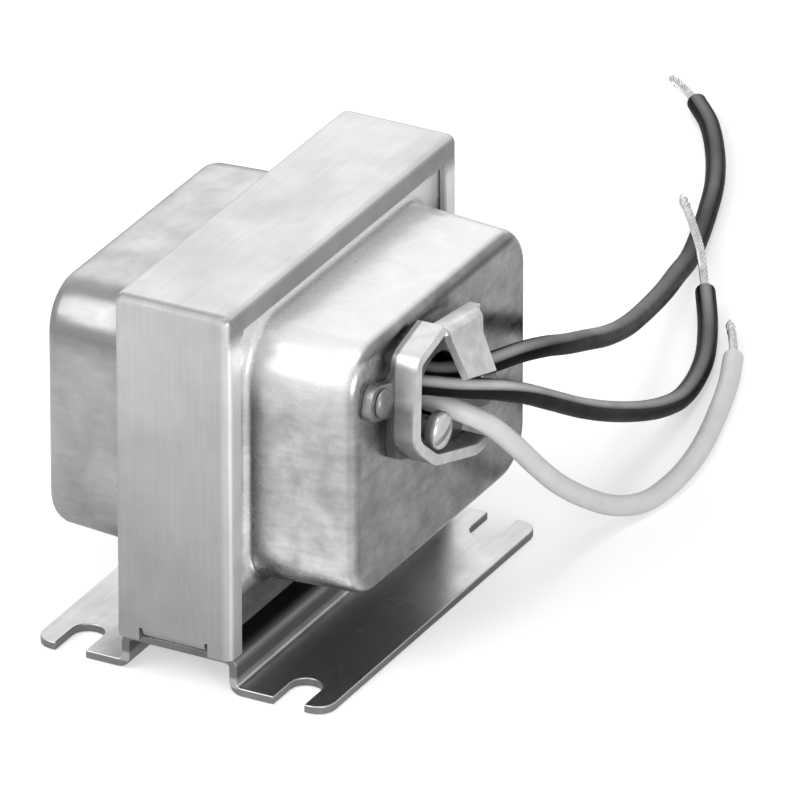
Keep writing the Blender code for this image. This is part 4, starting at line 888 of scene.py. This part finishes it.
# %% Rivet the clamp and the terminal board
HEAD_LIFT, AIR = 0.05, 0.3
COLLAR_SHEET, BOARD_SHEET = 1.0, 1.6
COLLAR_FACE = BELL_FACE + AIR + COLLAR_SHEET + HEAD_LIFT
BOARD_FACE = BELL_FACE + AIR + BOARD_SHEET + HEAD_LIFT
EARS = ((-13.9, 0.4), (14.7, -1.0))
CLAMP_GRIP, BOARD_GRIP, RIVET_REACH = 2.3, 2.9, 7.4
BOARD_RIVET_Z = (BELL_CENTRE_Z + RIVET_REACH, BELL_CENTRE_Z - RIVET_REACH)
EAR_PLACES = [clamp_point(u, v, COLLAR_FACE) for u, v in EARS]
BOARD_PLACES = [Vector((0, CENTRE_Y + BOARD_FACE, z)) * MM for z in BOARD_RIVET_Z]
RIVET_SETS = {
    "clamp_rivets": (EAR_PLACES, (0, -1, 0), CLAMP_GRIP, ("clamp_rivet_left", "clamp_rivet_right")),
    "board_rivets": (BOARD_PLACES, (0, 1, 0), BOARD_GRIP, ("board_rivet_upper", "board_rivet_lower")),
}
rivets = rivet_tree()
for name, (places, facing, grip, nodes) in RIVET_SETS.items():
    rivet = turned("rivet_shape", rivet_profile(grip))
    made = run_tree(marked_places(name, places, facing), rivets, {"Rivet": rivet, "Finish": RIVET_STEEL})
    bpy.data.objects.remove(rivet)
    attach(made, "root")
    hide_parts(*nodes)
    print(name, len(made.data.polygons), "faces")

# %% [markdown]
# ## Laminations
# The core is not a block: it is a pile of thin silicon steel stampings, E shapes below and I shapes on top,
# and the pile's edges show as fine parallel lines. One stamping is drawn, and a Geometry Nodes tree piles
# up copies a sheet apart, each slipped a little by a fixed-seed random amount, as a pressed pile has.

# %% Draw a stamping and pile it up
LAMINATIONS = 24
PILE_DEPTH, PILE_AIR, PILE_SLIP = 11.9, 0.03, 0.03
PITCH = PILE_DEPTH / LAMINATIONS
FIRST_FACE = CENTRE_Y - PILE_DEPTH / 2


def stamping(name, corners, thickness):
    work = bmesh.new()
    face = work.faces.new([work.verts.new((x * MM, 0.0, z * MM)) for x, z in corners])
    grown = bmesh.ops.extrude_face_region(work, geom=[face])
    raised = [item for item in grown["geom"] if isinstance(item, bmesh.types.BMVert)]
    bmesh.ops.translate(work, verts=raised, vec=(0.0, thickness * MM, 0.0))
    bmesh.ops.recalc_face_normals(work, faces=work.faces)
    return as_object(name, work)


def pile_tree():
    inputs = [
        ("Sheets", "NodeSocketInt", 10),
        ("Start", "NodeSocketFloat", 0.0),
        ("Pitch", "NodeSocketFloat", 0.001),
        ("Slip", "NodeSocketFloat", 0.0),
        ("Finish", "NodeSocketMaterial", None),
    ]
    tree = new_geometry_tree("pile_of_stampings", inputs)
    given = tree.nodes.new("NodeGroupInput").outputs
    start = add_node(tree, "ShaderNodeCombineXYZ", {"Y": given["Start"]}).outputs[0]
    step = add_node(tree, "ShaderNodeCombineXYZ", {"Y": given["Pitch"]}).outputs[0]
    values = {"Count": given["Sheets"], "Start Location": start, "Offset": step}
    line = add_node(tree, "GeometryNodeMeshLine", values)
    values = {"Points": line.outputs["Mesh"], "Instance": given["Geometry"]}
    placed = add_node(tree, "GeometryNodeInstanceOnPoints", values)
    values = {"Min": (-1.0, 0.0, -1.0), "Max": (1.0, 0.0, 1.0), "Seed": 3}
    slip = add_node(tree, "FunctionNodeRandomValue", values, data_type="FLOAT_VECTOR")
    shift = vector_node(tree, "SCALE", {0: slip.outputs[0], "Scale": given["Slip"]})
    values = {"Instances": placed.outputs["Instances"], "Translation": shift}
    moved = add_node(tree, "GeometryNodeTranslateInstances", values)
    end_tree(tree, moved.outputs["Instances"], given["Finish"])
    return tree


# %% The two piles
CORE_STEEL = tinned_steel("silicon_steel", (0.4, 2.0, 0.4), (0.15, 0.25), (0.5, 0.38), 0.3, (0.3, 0.01))
E_CORNERS = [(-28.7, 6.8), (28.7, 6.8), (28.7, 41.5), (19.2, 41.5), (19.2, 16.3), (9.5, 16.3)]
E_CORNERS += [(9.5, 41.5), (-9.5, 41.5), (-9.5, 16.3), (-19.2, 16.3), (-19.2, 41.5), (-28.7, 41.5)]
I_CORNERS = [(-28.7, 41.8), (28.7, 41.8), (28.7, 51.3), (-28.7, 51.3)]
PILES = (("e_laminations", "core_e_stack", E_CORNERS), ("i_laminations", "core_i_stack", I_CORNERS))
pile = pile_tree()
for name, node, corners in PILES:
    values = {"Sheets": LAMINATIONS, "Start": FIRST_FACE * MM, "Pitch": PITCH * MM}
    values.update({"Slip": PILE_SLIP * MM, "Finish": CORE_STEEL})
    made = run_tree(stamping(name, corners, PITCH - PILE_AIR), pile, values)
    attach(made, "root")
    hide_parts(node)
    print(name, LAMINATIONS, "sheets of", round(PITCH - PILE_AIR, 3), "mm")

# %% [markdown]
# ## The coil, the tails and the terminals
# The coil, its tape and the thin tails are shut inside the bells, so the solid model's own shapes stay and
# only get a finish that belongs to what they are made of. The terminals show, so they get rounded edges.

# %% Other finishes
def plain_finish(name, dark, light, rough, metallic, scale, depth):
    """A finish with soft colour clouds, uneven gloss and a fine surface."""
    finish, tree, shader = new_finish(name, light, rough, metallic)
    even = millimetres(tree)
    clouds = noise(tree, even, scale, 4.0, 0.6)
    share = remap(tree, clouds, 0.35, 0.65, 0.0, 1.0)
    tree.links.new(blend_colours(tree, share, dark, light), shader.inputs["Base Color"])
    tree.links.new(remap(tree, clouds, 0.3, 0.7, rough + 0.08, rough - 0.08), shader.inputs["Roughness"])
    add_bump(tree, shader, noise(tree, even, scale * 5, 3.0), depth * MM)
    return finish


NYLON = plain_finish("bobbin_nylon", (0.62, 0.58, 0.46), (0.74, 0.7, 0.58), 0.5, 0.0, 0.5, 0.01)
COPPER = plain_finish("coil_wire", (0.4, 0.17, 0.07), (0.6, 0.28, 0.13), 0.35, 1.0, 1.0, 0.03)
TAPE = plain_finish("coil_tape", (0.6, 0.53, 0.3), (0.72, 0.66, 0.42), 0.55, 0.0, 0.6, 0.02)
PHENOLIC = plain_finish("board_phenolic", (0.07, 0.036, 0.02), (0.13, 0.066, 0.036), 0.5, 0.0, 0.9, 0.015)
BRASS = plain_finish("terminal_brass", (0.42, 0.30, 0.13), (0.60, 0.45, 0.21), 0.3, 1.0, 0.5, 0.006)

COIL_FINISHES = {
    NYLON: ("coil_bobbin", "lead_upper_splice", "lead_lower_splice", "lead_white_splice"),
    COPPER: (
        "primary_winding", "secondary_winding", "primary_tail_upper", "primary_tail_lower",
        "primary_tail_white", "secondary_tail_left", "secondary_tail_right",
    ),
    TAPE: ("primary_wrap", "secondary_wrap"),
}
for finish, names in COIL_FINISHES.items():
    for node in names:
        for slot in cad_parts[node].material_slots:
            slot.material = finish
    print(finish.name, "on", len(names), "solids")

# %% Round the terminals' edges
rounded_copy("terminal_board_sheet", "terminal_board", PHENOLIC, 0.15)
for side in ("left", "right"):
    rounded_copy("terminal_tab_" + side, "terminal_plate_" + side, BRASS, 0.12)
    rounded_copy("terminal_head_" + side, "terminal_screw_" + side, BRASS, 0.12)

# %% [markdown]
# ## Floor, backdrop and light
# The picture's ground is plain white. The floor is a pale matt sheet that takes the object's shadow, and it
# glows a little for camera and mirror rays only, so that it reads as white without lighting the object.
# Large soft lamps stand where the real sheets show their bright reflections.

# %% Floor
FLOOR_SIZE, FLOOR_DROP = 6.0, 0.0001
GLOW_REACH, GLOW, MIRRORED_GLOW = (0.1, 1.6), (0.5, 0.72), 0.12
floor_mesh = bpy.data.meshes.new("floor")
work = bmesh.new()
bmesh.ops.create_grid(work, x_segments=1, y_segments=1, size=FLOOR_SIZE)
work.to_mesh(floor_mesh)
work.free()
floor = bpy.data.objects.new("floor", floor_mesh)
floor.location = (0.0, 0.0, -FLOOR_DROP)
scene.collection.objects.link(floor)
paper = bpy.data.materials.new("white_paper")
paper.use_nodes = True
tree = paper.node_tree
tree.nodes.clear()
matt = add_node(tree, "ShaderNodeBsdfDiffuse", {"Color": (0.8, 0.8, 0.8, 1.0)})
rays = tree.nodes.new("ShaderNodeLightPath").outputs
mirrored = math_node(tree, "MAXIMUM", rays["Is Glossy Ray"], rays["Is Transmission Ray"])
spot = tree.nodes.new("ShaderNodeTexCoord").outputs["Object"]
away = add_node(tree, "ShaderNodeVectorMath", {0: spot}, operation="LENGTH").outputs["Value"]
near_glow = remap(tree, away, *GLOW_REACH, *GLOW)
seen_glow = math_node(tree, "MULTIPLY", rays["Is Camera Ray"], near_glow)
strength = math_node(tree, "ADD", seen_glow, math_node(tree, "MULTIPLY", mirrored, MIRRORED_GLOW))
glow = add_node(tree, "ShaderNodeEmission", {"Color": (1.0, 1.0, 1.0, 1.0), "Strength": strength})
both = add_node(tree, "ShaderNodeAddShader", {0: matt.outputs[0], 1: glow.outputs[0]})
surface = tree.nodes.new("ShaderNodeOutputMaterial")
tree.links.new(both.outputs[0], surface.inputs["Surface"])
floor_mesh.materials.append(paper)
print("floor", FLOOR_SIZE, "m to each side")

# %% A white room that lights the object softly
AMBIENT = 0.35
world = bpy.data.worlds.new("studio")
scene.world = world
world.use_nodes = True
tree = world.node_tree
background = tree.nodes["Background"]
rays = tree.nodes.new("ShaderNodeLightPath").outputs
seen = math_node(tree, "MAXIMUM", rays["Is Camera Ray"], rays["Is Glossy Ray"])
seen = math_node(tree, "MAXIMUM", seen, rays["Is Transmission Ray"])
strength = remap(tree, seen, 0.0, 1.0, AMBIENT, 1.0)
background.inputs["Color"].default_value = (1.0, 1.0, 1.0, 1.0)
tree.links.new(strength, background.inputs["Strength"])
print("room light", AMBIENT, "on matt surfaces")

# %% [markdown]
# ## Lamps
# Metal shows what stands round it, so each lamp is placed where its reflection falls on a face that the
# picture shows bright. The first two give the bends and the tops their light, the third lightens the far side
# a little, and the last, low in front, brightens the bells' walls and the clamp.

# %% Place the lamps
LAMP_DISTANCE = 0.9
LAMP_AIM = Vector((0.0, 0.0, 0.02))


def softbox(name, azimuth, elevation, size, brightness):
    """A round lamp with the given surface brightness, aimed at the object."""
    lamp = bpy.data.lights.new(name, "AREA")
    lamp.shape, lamp.size = "DISK", size
    lamp.energy = brightness * math.pi * math.pi * (size / 2) ** 2
    item = bpy.data.objects.new(name, lamp)
    towards = direction(math.radians(azimuth), math.radians(elevation))
    item.location = LAMP_AIM + towards * LAMP_DISTANCE
    item.rotation_euler = towards.to_track_quat("Z", "Y").to_euler()
    item.visible_camera = False
    scene.collection.objects.link(item)
    print(name, round(lamp.energy, 2), "W")


softbox("window_lamp", -125.0, 38.0, size=0.92, brightness=2.5)
softbox("overhead_lamp", -60.0, 80.0, size=0.28, brightness=7.0)
softbox("far_side_lamp", 118.0, 30.0, size=0.7, brightness=0.45)
softbox("low_front_lamp", -35.0, 12.0, size=0.4, brightness=7.0)
scene.view_settings.view_transform = "Standard"
